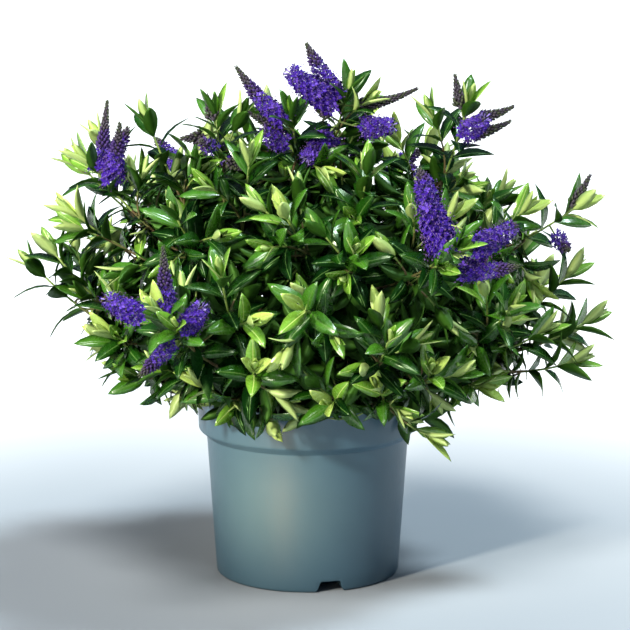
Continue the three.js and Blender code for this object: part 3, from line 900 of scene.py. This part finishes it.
def fineTips(others):
    nearest = math.cos(math.radians(crown["fineApart"]))
    made = []
    for layer in fineLayers:
        random = seeded(layer["seed"])
        for tip in spreadTips(layer["count"], layer["seed"] + 1, layer["turn"]):
            tip["reach"] *= mix(*layer["reach"], random())
            tip["inner"] = layer["inner"]
            near = any(other["towards"].dot(tip["towards"]) > nearest for other in others)
            if tip["inner"] or not near:
                made.append(tip)
    return made


def onAxis(mass, distance):
    return fork + mass["axis"] * distance


def massStemEnd(mass):
    return twig["stemShare"] * reachOf(mass["axis"])


def growMainShoots():
    for tip in mainTips():
        mass = nearestMass(tip["towards"])
        end = fork + tip["towards"] * tip["reach"]
        early = min(math.degrees(tip["towards"].angle(mass["axis"])) / twig["earlyAngle"], 1)
        first = mass["ring"]["boughReach"] + twig["firstFoot"]
        foot = onAxis(mass, mix(massStemEnd(mass) - twig["lastFoot"], first, early))
        fall = twig["sag"] * (end - foot).length * math.cos(math.radians(mass["ring"]["rise"]))
        control = (foot + end) / 2 - up * 2 * fall
        points = bezier(foot, control, end, twig["steps"])
        mass["shoots"].append({"points": points, "tip": tip, "radii": twig["radii"], "fine": False})


def growFineShoots():
    mains = [(shoot, mass) for mass in masses for shoot in mass["shoots"]]
    for tip in fineTips([shoot["tip"] for shoot, _ in mains]):
        host, mass = max(mains, key=lambda pair: pair[0]["tip"]["towards"].dot(tip["towards"]))
        angle = math.degrees(host["tip"]["towards"].angle(tip["towards"]))
        near = 1 - smoothstep(angle, twig["clusterAngle"] / 2, twig["clusterAngle"])
        if host["tip"]["placed"] and not tip["inner"]:
            tip["reach"] = mix(tip["reach"], twig["clusterReach"] * host["tip"]["reach"], near)
        share = mix(*twig["fineFoot"], min(angle / twig["farAngle"], 1))
        place = share * (len(host["points"]) - 1)
        low = int(place)
        foot = mix(host["points"][low], host["points"][low + 1], place - low)
        onward = unit(host["points"][low + 1] - host["points"][low])
        end = np.array(fork + tip["towards"] * tip["reach"])
        control = foot + onward * twig["ease"] * np.linalg.norm(end - foot)
        points = bezier(foot, control, end, twig["steps"])
        mass["shoots"].append({"points": points, "tip": tip, "radii": twig["fineRadii"], "fine": True})


growMainShoots()
growFineShoots()
print("crown laid out,", sum(len(mass["shoots"]) for mass in masses), "shoots")


# Stem and boughs

wood = {
    "stemHeight": 0.050,
    "stemFoot": 0.1723,
    "sunk": 0.005,  # into the compost
    "flareRadius": 0.013,
    "neckRadius": 0.0084,
    "topRadius": 0.007,
    "flareShare": 0.3,
    "lean": 3,
    "boughRadii": (0.0033, 0.0026),
    "straightShare": 0.55,
    "relief": 0.16,  # of the radius
    "reliefParts": {"furrow": 0.6, "ridge": 0.8, "sunk": 0.3},
    "furrows": 7,
    "wander": (1.7, 1.6),  # scale and strength
    "ridgeScale": 3.1,
    "ridgeRule": (1, 2, 3),
    "alongScale": 60,
    "stemSides": 40,
    "stemSteps": 44,
    "boughSides": 14,
    "boughSteps": 40,
}
barkFinish = {
    "first": (0.105, 0.062, 0.034),
    "second": (0.21, 0.15, 0.095),
    "driftScale": 160.0,
    "grainScale": 620.0,
    "stretch": 3.0,
    "rough": (0.7, 0.95),
    "bump": 0.5,
    "bumpDepth": 0.0006,
    "gloss": 0.25,
}
youngBarkFinish = {
    "first": (0.085, 0.052, 0.020),
    "second": (0.090, 0.105, 0.028),
    "driftScale": 60.0,
    "grainScale": 700.0,
    "stretch": 2.0,
    "rough": (0.5, 0.7),
    "gloss": 0.35,
}
greenTwigFinish = {
    "first": (0.12, 0.19, 0.035),
    "second": (0.19, 0.27, 0.06),
    "driftScale": 70.0,
    "grainScale": 600.0,
    "rough": (0.42, 0.6),
    "gloss": 0.4,
}


def barkRelief(turns, along):  # furrows that wander round a limb, and ridges across them
    relief = np.empty((len(along), len(turns)))
    parts, (wanderScale, wanderBy) = wood["reliefParts"], wood["wander"]
    for row, distance in enumerate(along):
        for column, turn in enumerate(turns):
            place = Vector((math.cos(turn), math.sin(turn), distance * wood["alongScale"]))
            wander = noise.noise(place * wanderScale) * wanderBy
            furrow = abs(math.sin(wood["furrows"] / 2 * turn + wander))
            ridge = noise.fractal(place * wood["ridgeScale"], *wood["ridgeRule"])
            relief[row, column] = parts["furrow"] * furrow + parts["ridge"] * ridge - parts["sunk"]
    return wood["relief"] * relief


def addLimb(batch, points, radii, sides):
    relief = barkRelief(np.arange(sides) * 2 * math.pi / sides, distancesAlong(points))
    addTube(batch, points, np.array(radii)[:, None] * (1 + relief), sides, [0])


def stemRadius(share):
    flare = max(1 - share / wood["flareShare"], 0)
    taper = max((share - wood["flareShare"]) / (1 - wood["flareShare"]), 0)
    level = mix(wood["neckRadius"], wood["topRadius"], taper)
    return level + (wood["flareRadius"] - wood["neckRadius"]) * flare ** 2


def makeWood():
    slope = math.tan(math.radians(wood["lean"]))
    bark = newFinish("shrubBark", barkFinish)
    batch = newBatch()
    heights = np.linspace(-wood["sunk"], wood["stemHeight"], wood["stemSteps"] + 1)
    points = np.stack([slope * heights, 0 * heights, wood["stemFoot"] + heights], axis=1)
    radii = [stemRadius(max(height, 0) / wood["stemHeight"]) for height in heights]
    addLimb(batch, points, radii, wood["stemSides"])
    dress(pieceFrom(batch, "woodyStem", [bark]), "bark", "stem")
    batch = newBatch()
    for mass in masses:
        height = mass["ring"]["footHeight"] + mass["order"] % 2 * mass["ring"]["footStep"]
        foot = Vector((slope * (height - wood["stemFoot"]), 0, height))
        end = onAxis(mass, mass["ring"]["boughReach"])
        control = end - mass["axis"] * wood["straightShare"] * (end - foot).length
        line = bezier(foot, control, end, wood["boughSteps"])
        addLimb(batch, line, np.linspace(*wood["boughRadii"], len(line)), wood["boughSides"])
    dress(pieceFrom(batch, "boughs", [bark]), "bark", *boughNodes)


def twigShade(share, fine):  # brown at the foot, then young bark, green towards the tip
    if share < twig["brownShare"] and not fine:
        return 0
    return 1 if share < twig["barkShare"] else 2


def makeTwigs():
    batch, steps = newBatch(), twig["stemSteps"]
    for mass in masses:
        foot = onAxis(mass, mass["ring"]["boughReach"] - twig["overlap"])
        line = np.linspace(foot, onAxis(mass, massStemEnd(mass)), steps)
        addTube(batch, line, np.linspace(*twig["stemRadii"], steps), twig["stemSides"], [0])
        for shoot in mass["shoots"]:
            count = len(shoot["points"])
            shades = [twigShade(k / count, shoot["fine"]) for k in range(count)]
            addTube(batch, shoot["points"], np.linspace(*shoot["radii"], count), twig["sides"], shades)
    finishes = [
        newFinish("brownTwig", barkFinish),
        newFinish("youngBark", youngBarkFinish),
        newFinish("greenTwig", greenTwigFinish),
    ]
    dress(pieceFrom(batch, "twigs", finishes), "bark", *foliageNodes)


makeWood()
makeTwigs()
print("stem, boughs and twigs ready")


# Leaves

leafTones = {  # from old leaves, the darkest deepened towards black as painted shade of the crown's depths, to the youngest
    # the darkest tone: old leaves, nearly black with painted shade
    "leafShadeDark": (0.002, 0.016, 0.002),
    "leafDeep": (0.007, 0.044, 0.002),
    "leafMid": (0.037, 0.131, 0.008),
    "leafFresh": (0.126, 0.280, 0.026),
    "leafLime": (0.360, 0.505, 0.105),
    "underOld": (0.017, 0.056, 0.004),
    # the pale young underside, made paler still as painted highlight
    "underYoung": (0.315, 0.425, 0.125),
    "ribOld": (0.070, 0.150, 0.030),
    "ribYoung": (0.420, 0.540, 0.160),
}
toneNames = list(leafTones)
leafGloss = {
    "grainScale": 240.0,
    "rough": (0.19, 0.33),
    "gloss": 0.62,
    "darkShare": 0.3,  # of the gloss, on the darkest leaves
    "tints": {  # of the gloss, where the deep green shows through it
        "leafShadeDark": (0.50, 1.0, 0.30),
        "leafDeep": (0.78, 1.0, 0.62),
        "underOld": (0.50, 1.0, 0.30),
    },
    "underDull": 0.22,  # added to the roughness of undersides
}
leaf = {
    "rows": (0, 0.07, 0.24, 0.44, 0.66, 0.86),  # shares of the length
    "widths": (0.09, 0.24, 0.80, 1.0, 0.88, 0.48),  # of the full width
    "plainRows": ((0.24, 0.76), (0.48, 1.0), (0.76, 0.68)),  # of an inner leaf
    "rib": 0.075,  # of the full width
    "ribTaper": 0.6,
    "ribMost": 0.6,  # of the width at a row
    "thick": 0.012,
    "shape": 0.34,  # a leaf's width as a share of its length, which its fold goes by
    "plainFold": 1 / 6,
    "turnScatter": 16,
    "spreadScatter": 12,
    "sizeScatter": 0.14,
    "bareFoot": 0.012,
    "fineLength": 0.94,
    "shrinks": (1, 0.8, 0.62),  # sizes tried until a leaf has room
    "agedShare": 0.2,  # of the leaves, those one tone older
    "youngTone": 3,  # the first tone with a young rib and underside
    "innerShadeTone": 1,  # the youngest tone of an inner shoot, kept dark as painted shade inside the crown
    "matureAndShadeShare": (0.74, 0.36),  # of the shoots, those one tone older and darker, in the crown's middle and at its sides; the larger share in the middle is painted shade
}
leafForms = {  # fold lifts the edges, droop bends the tip down, cup lifts it first, sway bends it aside
    "young": {"fold": 0.34, "droop": -0.08, "cup": 0.02, "sway": 0.02},
    "rising": {"fold": 0.26, "droop": 0.07, "cup": 0.05, "sway": -0.04},
    "arched": {"fold": 0.18, "droop": 0.17, "cup": 0.07, "sway": 0.05},
    "fallen": {"fold": 0.14, "droop": 0.26, "cup": 0.06, "sway": -0.06},
}
leafStages = [  # from a shoot's tip down: distance back, length, width, spread, form and tone
    (0.001, 0.026, 0.0088, 10, "young", 4),
    (0.006, 0.038, 0.0132, 26, "young", 4),
    (0.015, 0.044, 0.0156, 42, "rising", 3),
    (0.028, 0.046, 0.0168, 54, "arched", 2),
    (0.044, 0.045, 0.0168, 62, "arched", 1),
    (0.061, 0.043, 0.0160, 69, "arched", 1),
    (0.079, 0.041, 0.0154, 75, "fallen", 1),
    (0.097, 0.040, 0.0150, 80, "plain", 0),
    (0.114, 0.038, 0.0138, 84, "plain", 0),
    (0.131, 0.038, 0.0134, 86, "plain", 0),
    (0.148, 0.036, 0.0130, 88, "plain", 0),
    (0.165, 0.036, 0.0130, 90, "plain", 0),
]


def leafShape(form):  # unit length and width, upper side first: two half blades and the rib between them
    corners, faces, parts = [], [], []
    for share, width in zip(leaf["rows"], leaf["widths"]):
        rise = form["cup"] * math.sin(math.pi * share) - form["droop"] * share ** 2
        sway = form["sway"] * math.sin(math.pi * share)
        rib = min(leaf["rib"] * (1 - leaf["ribTaper"] * share), leaf["ribMost"] * width) / 2
        for across in (-width / 2, -rib, rib, width / 2):
            lift = form["fold"] * (abs(across) - rib) * leaf["shape"]
            corners.append((across + sway, share, rise + lift))
        corners.append((sway, share, rise - leaf["thick"]))
    tip = len(corners)
    corners.append((0, 1, -form["droop"]))
    strips = [(0, 1, 0), (1, 2, 1), (2, 3, 0), (4, 0, 2), (3, 4, 2)]  # two corners of a row, and the part
    for row in range(len(leaf["rows"])):
        low, high = row * 5, (row + 1) * 5
        for first, second, part in strips:
            ahead = [tip] if high == tip else [high + second, high + first]
            faces.append([low + first, low + second, *ahead])
            parts.append(part)
    return shapeOf(corners, faces, parts)


def plainLeafShape(form):  # an inner leaf, one folded sheet
    corners, faces = [(0, 0, 0)], []
    for share, width in leaf["plainRows"]:
        rise = -form["droop"] * share ** 2
        edge = rise + form["fold"] * width * leaf["plainFold"]
        corners += [(-width / 2, share, edge), (0, share, rise), (width / 2, share, edge)]
    tip = len(corners)
    corners.append((0, 1, -form["droop"]))
    faces += [[0, 2, 1], [0, 3, 2], [tip, tip - 3, tip - 2], [tip, tip - 2, tip - 1]]
    for low in range(1, tip - 3, 3):
        faces += [[low, low + 1, low + 4, low + 3], [low + 1, low + 2, low + 5, low + 4]]
    return shapeOf(corners, faces)


def leafFinish(name, colour):
    gloss = leafGloss["gloss"] * (leafGloss["darkShare"] if name == "leafShadeDark" else 1)
    tint = (*leafGloss["tints"].get(name, (1, 1, 1)), 1)
    material, shader = newSurface(name, colour, {"Specular IOR Level": gloss, "Specular Tint": tint})
    addGrain(shader, leafGloss, leafGloss["underDull"] if name.startswith("under") else 0)
    return material


def lean(tangent, side, angle):
    spread = math.radians(angle)
    return tangent * math.cos(spread) + side * math.sin(spread)


def turned(vector, axis, angle):
    return np.array(Matrix.Rotation(math.radians(angle), 3, Vector(axis)) @ Vector(vector))


def nodeAt(shoot, back):  # a place so far back from the shoot's tip, and the shoot's direction there
    points, lengths = shoot["points"], distancesAlong(shoot["points"])
    distance = max(lengths[-1] - back, 0)
    low = min(int(np.searchsorted(lengths, distance, "right")) - 1, len(points) - 2)
    share = (distance - lengths[low]) / (lengths[low + 1] - lengths[low])
    return mix(points[low], points[low + 1], share), unit(points[low + 1] - points[low])


def pairSide(tangent, roll):
    return turned(unit(np.cross(tangent, up)), tangent, roll)


def growAlong(along, face):
    across = unit(np.cross(along, face))
    return across, along, np.cross(across, along)


boxLow, boxHigh = np.array(cadBox)
boxMargin = crown["boxShare"] * (boxHigh - boxLow)
hemBearings, hemHeights = np.array(crown["hem"]).T


def hasRoom(corners):  # inside the solids' box, over the hem and clear of the pot
    if (corners < boxLow - boxMargin).any() or (corners > boxHigh + boxMargin).any():
        return False
    lowest = corners[np.argmin(corners[:, 2])]
    bearing = math.degrees(math.atan2(lowest[1], lowest[0]))
    if lowest[2] < np.interp(bearing, hemBearings, hemHeights):
        return False
    aside = np.hypot(corners[:, 0], corners[:, 1]) > pot["rimRadius"] + crown["potGap"]
    return bool((aside | (corners[:, 2] > pot["height"] + crown["potGap"])).all())


def addLeaf(batch, shape, axes, size, root, tones):
    scale = np.array([[size[1]], [size[0]], [size[0]]])
    for shrink in leaf["shrinks"]:
        corners = shape["corners"] @ (np.array(axes) * scale * shrink) + root
        if hasRoom(corners):
            addShape(batch, shape, corners, np.array(tones)[shape["parts"]])
            return


def toneSet(tone):  # finishes of the half blades, the rib and the underside
    age = "Young" if tone >= leaf["youngTone"] else "Old"
    return [tone, toneNames.index("rib" + age), toneNames.index("under" + age)]


def growLeaves(batch, shoot, random, shapes):
    length = distancesAlong(shoot["points"])[-1]
    # shoots towards the crown's middle more often go one tone darker: age, and painted shade
    matureAndShaded = random() < mix(*leaf["matureAndShadeShare"], abs(shoot["tip"]["towards"].x))
    shift = -1 if matureAndShaded else 0
    scale = leaf["fineLength"] if shoot["fine"] else 1
    for order, (back, leafLength, width, spread, form, tone) in enumerate(leafStages):
        if back > length - leaf["bareFoot"]:
            break
        root, tangent = nodeAt(shoot, back)
        for side in (0, 180):
            turn = shoot["tip"]["roll"] + 90 * order + side + leaf["turnScatter"] * (random() - 0.5)
            outward = pairSide(tangent, turn)
            angle = spread + leaf["spreadScatter"] * (random() - 0.5)
            axes = growAlong(lean(tangent, outward, angle), lean(tangent, outward, angle - 90))
            size = scale * (1 + leaf["sizeScatter"] * (random() - 0.5))
            older = max(tone + shift - (1 if random() < leaf["agedShare"] else 0), 0)
            # inner shoots keep old, dark tones: painted shade inside the crown
            if shoot["tip"]["inner"]:
                older = min(older, leaf["innerShadeTone"])
            addLeaf(batch, shapes[form], axes, (leafLength * size, width * size), root, toneSet(older))


def makeLeaves():
    finishes = [leafFinish(name, colour) for name, colour in leafTones.items()]
    shapes = {name: leafShape(form) for name, form in leafForms.items()}
    shapes["plain"] = plainLeafShape(leafForms["fallen"])
    for ring in rings:
        batch = newBatch()
        own = [mass for mass in masses if mass["ring"] is ring]
        for mass in own:
            random = seeded(crown["seed"] + crown["massSeedStep"] * (masses.index(mass) + 1))
            for shoot in mass["shoots"]:
                growLeaves(batch, shoot, random, shapes)
        piece = pieceFrom(batch, "leaves_" + ring["name"], finishes)
        dress(piece, "foliage", *["foliage_" + mass["name"] for mass in own])


makeLeaves()
print("leaves ready")


# Flower spikes

blossomTones = {
    "petalViolet": (0.034, 0.008, 0.220),
    "petalDeep": (0.016, 0.003, 0.110),
    "petalLilac": (0.084, 0.036, 0.340),
    "throatPale": (0.220, 0.170, 0.480),
    "stamenLilac": (0.240, 0.170, 0.480),
    "antherDusk": (0.110, 0.060, 0.180),
    "budPlum": (0.050, 0.028, 0.120),
    "budGrey": (0.062, 0.052, 0.070),
    "budGreen": (0.058, 0.070, 0.042),
    "stalkGreen": (0.110, 0.160, 0.050),
}
blossomGloss = {"grainScale": 500.0, "rough": (0.6, 0.8), "gloss": 0.12}
spike = {
    "nodes": (0.016, 0.034),  # distance of the flowering nodes from the shoot's tip
    "sag": 0.13,  # of the length
    "bareFoot": 0.014,  # length of stalk under the first florets
    "pitch": 0.00052,  # from one floret to the next
    "budPitch": 0.00042,
    "axisRadii": (0.0011, 0.0004),
    "heartShare": 0.5,  # of the buds' seat, the radius of the dark heart under them
    "sizeGain": (0.5, 0.050),  # florets' size with no open part, and the open length that has them full
    "floretSize": (1.55, 0.85),  # at the foot and at the last open floret
    "floretSeat": 0.0030,  # from the spike's middle line
    "budSeat": (0.0062, 0.0014),
    "budLength": (0.0072, 0.0028),
    "tilt": (12, 40),  # towards the spike's tip, in degrees
    "tiltScatter": 14,
    "sizeScatter": (0.86, 1.12),
    "sizeFade": 1.6,  # florets keep their size for longer above 1
    "deepShare": 0.36,  # of the florets, those with darker petals
    "lilacShare": 0.22,  # of the others, those with paler ones
    "budTilt": (38, 74),
    "budWidth": 0.62,  # of its length
    "budPlum": (0.34, 0.2),  # share of the buds' part that is plum, and its scatter
    "budGrey": (0.6, 0.3),
    "tightShare": 0.2,  # a spike less open than this is grey and green all over
    "tightGrey": 0.5,  # of its buds, the grey ones
    "axisSides": 5,
    "heartSides": 6,
    "steps": 14,
}
floret = {
    "tube": 0.0056,
    "tubeRadii": (0.0006, 0.0012),
    "petal": 0.0042,
    "petalWidth": 0.0028,
    "petalSpread": 58,
    "petalSeat": 0.9,  # share of the tube
    "petalWidest": 0.55,  # share of the petal
    "petalDroop": 0.0006,
    "stamen": 0.0094,
    "stamenSeat": 0.8,
    "stamenSpread": 26,
    "stamenRadius": 0.00018,
    "anther": 0.0007,
    "antherTall": 0.6,  # of its width
}
bud = {"sides": 3, "rings": ((0.28, 0.42), (0.66, 0.40))}  # heights and radii, as shares of its length
blossomFinishNames = {
    "openFlorets": ["petalViolet", "petalDeep", "petalLilac", "throatPale", "stamenLilac", "antherDusk"],
    "flowerBuds": ["budPlum", "budGrey", "budGreen", "stalkGreen"],
}


def floretShape():  # a tube with four petals and two long stamens, growing along +Z
    tube, (footRadius, mouthRadius) = floret["tube"], floret["tubeRadii"]
    corners = ringOf(footRadius, 0, 4, 0.5) + ringOf(mouthRadius, tube, 4, 0.5)
    faces = [[k, (k + 1) % 4, (k + 1) % 4 + 4, k + 4] for k in range(4)]
    parts = [1] * 4
    spread = math.radians(floret["petalSpread"])
    along = Vector((math.sin(spread), 0, math.cos(spread))) * floret["petal"]
    seat = up * tube * floret["petalSeat"]
    middle = seat + along * floret["petalWidest"]
    aside = Vector((0, floret["petalWidth"] / 2, 0))
    petal = [seat, middle - aside, seat + along - up * floret["petalDroop"], middle + aside]
    for k in range(4):
        turn = Matrix.Rotation(math.radians(90 * k), 3, "Z")
        faces.append([len(corners) + corner for corner in range(4)])
        corners += [turn @ corner for corner in petal]
        parts.append(0)
    base, tall = up * tube * floret["stamenSeat"], floret["antherTall"]
    footPlan = ((1, 0, 0), (-1, 1, 0), (-1, -1, 0))
    antherPlan = ((1, 0, -tall), (-1, 0, -tall), (0, 1, tall), (0, -1, tall))
    stalkFaces = ((0, 1, 3), (1, 2, 3), (2, 0, 3))
    antherFaces = ((4, 6, 7), (5, 7, 6), (6, 4, 5), (7, 5, 4))
    for sign in (-1, 1):
        spread = math.radians(floret["stamenSpread"]) * sign
        end = Vector((0, math.sin(spread), math.cos(spread))) * floret["stamen"]
        faces += [[len(corners) + k for k in face] for face in stalkFaces + antherFaces]
        corners += [base + Vector(p) * floret["stamenRadius"] for p in footPlan] + [end]
        corners += [end + Vector(p) * floret["anther"] for p in antherPlan]
        parts += [2] * 3 + [3] * 4
    return shapeOf(corners, faces, parts)


def budShape():  # a pointed egg, growing along +Z, one long and one across
    rings = [corner for height, radius in bud["rings"] for corner in ringOf(radius, height, bud["sides"])]
    return shapeOf([(0, 0, 0), *rings, (0, 0, 1)], closedSkin(bud["sides"], len(bud["rings"])))


def blossomFinish(name):
    values = {"Specular IOR Level": blossomGloss["gloss"]}
    material, shader = newSurface(name, blossomTones[name], values)
    addGrain(shader, blossomGloss)
    return material


def petalShade(random):
    if random() < spike["deepShare"]:
        return 1
    return 2 if random() < spike["lilacShare"] else 0


def budShade(random, done, openShare):  # plum by the florets, then grey, green at the tip
    plumEnd, plumScatter = spike["budPlum"]
    greyEnd, greyScatter = spike["budGrey"]
    shade = 0
    if done >= plumEnd + plumScatter * random():
        shade = 1 if done < greyEnd + greyScatter * random() else 2
    if openShare < spike["tightShare"]:
        shade = 1 if random() < spike["tightGrey"] else 2
    return shade


def floretLook(random, done, fullness):  # tilt, width, height, seat and finishes
    tilt = mix(*spike["tilt"], done) + spike["tiltScatter"] * (random() - 0.5)
    size = fullness * mix(*spike["floretSize"], done ** spike["sizeFade"])
    size *= mix(*spike["sizeScatter"], random())
    return tilt, size, size, spike["floretSeat"], [petalShade(random), 3, 4, 5]


def budLook(random, done, openShare):  # the same for a bud
    tall = mix(*spike["budLength"], done)
    seat = mix(*spike["budSeat"], done) / 2
    shades = [budShade(random, done, openShare)]
    return mix(*spike["budTilt"], done), tall * spike["budWidth"], tall, seat, shades


def growSpike(flowers, buds, shapes, random, root, form):
    bearing, rise, length, openShare = form[:4]
    bareFoot = form[4] if len(form) > 4 else spike["bareFoot"]
    steps = spike["steps"]
    end = root + np.array(direction(bearing, rise)) * length
    control = (root + end) / 2 - np.array(up) * spike["sag"] * length
    line = bezier(root, control, end, steps)
    addTube(buds, line, np.linspace(*spike["axisRadii"], len(line)), spike["axisSides"], [3])
    forward, first, second = framesAlong(line)
    place, turn = bareFoot, 2 * math.pi * random()
    openEnd = mix(bareFoot, length, openShare)
    least, fullLength = spike["sizeGain"]
    fullness = mix(least, 1, (openEnd - bareFoot) / fullLength)
    heart = line[min(int(openEnd / length * steps), steps - 2):]
    heartRadii = spike["heartShare"] * np.linspace(*spike["budSeat"], len(heart))
    addTube(buds, heart, heartRadii, spike["heartSides"], [1])
    while place < length:
        share = place / length * steps
        low = min(int(share), steps - 1)
        turn += goldenAngle
        radial = first[low] * math.cos(turn) + second[low] * math.sin(turn)
        if place < openEnd:
            done = (place - bareFoot) / (openEnd - bareFoot)
            batch, shape, pitch = flowers, shapes["floret"], spike["pitch"]
            tilt, wide, tall, seat, shades = floretLook(random, done, fullness)
        else:
            done = (place - openEnd) / (length - openEnd)
            batch, shape, pitch = buds, shapes["bud"], spike["budPitch"]
            tilt, wide, tall, seat, shades = budLook(random, done, openShare)
        across = unit(np.cross(forward[low], radial))
        outward = lean(radial, forward[low], tilt)
        root = mix(line[low], line[low + 1], share - low) + radial * seat
        stamp(batch, shape, across * wide, np.cross(outward, across) * wide, outward * tall, root, shades)
        place += pitch


def makeSpikes():
    flowers, buds, random = newBatch(), newBatch(), seeded(crown["seed"] + crown["spikeSeedStep"])
    shapes = {"floret": floretShape(), "bud": budShape()}
    for mass in masses:
        for shoot in mass["shoots"]:
            spikes = shoot["tip"]["spikes"]
            for k, form in enumerate(spikes):  # the first half on the upper node, the rest on the lower
                back = spike["nodes"][0 if k < (len(spikes) + 1) // 2 else 1]
                root, _ = nodeAt(shoot, back)
                growSpike(flowers, buds, shapes, random, root, form)
    for name, batch in (("openFlorets", flowers), ("flowerBuds", buds)):
        finishes = [blossomFinish(tone) for tone in blossomFinishNames[name]]
        dress(pieceFrom(batch, name, finishes), "blossom", *foliageNodes)


makeSpikes()
print("flower spikes ready")
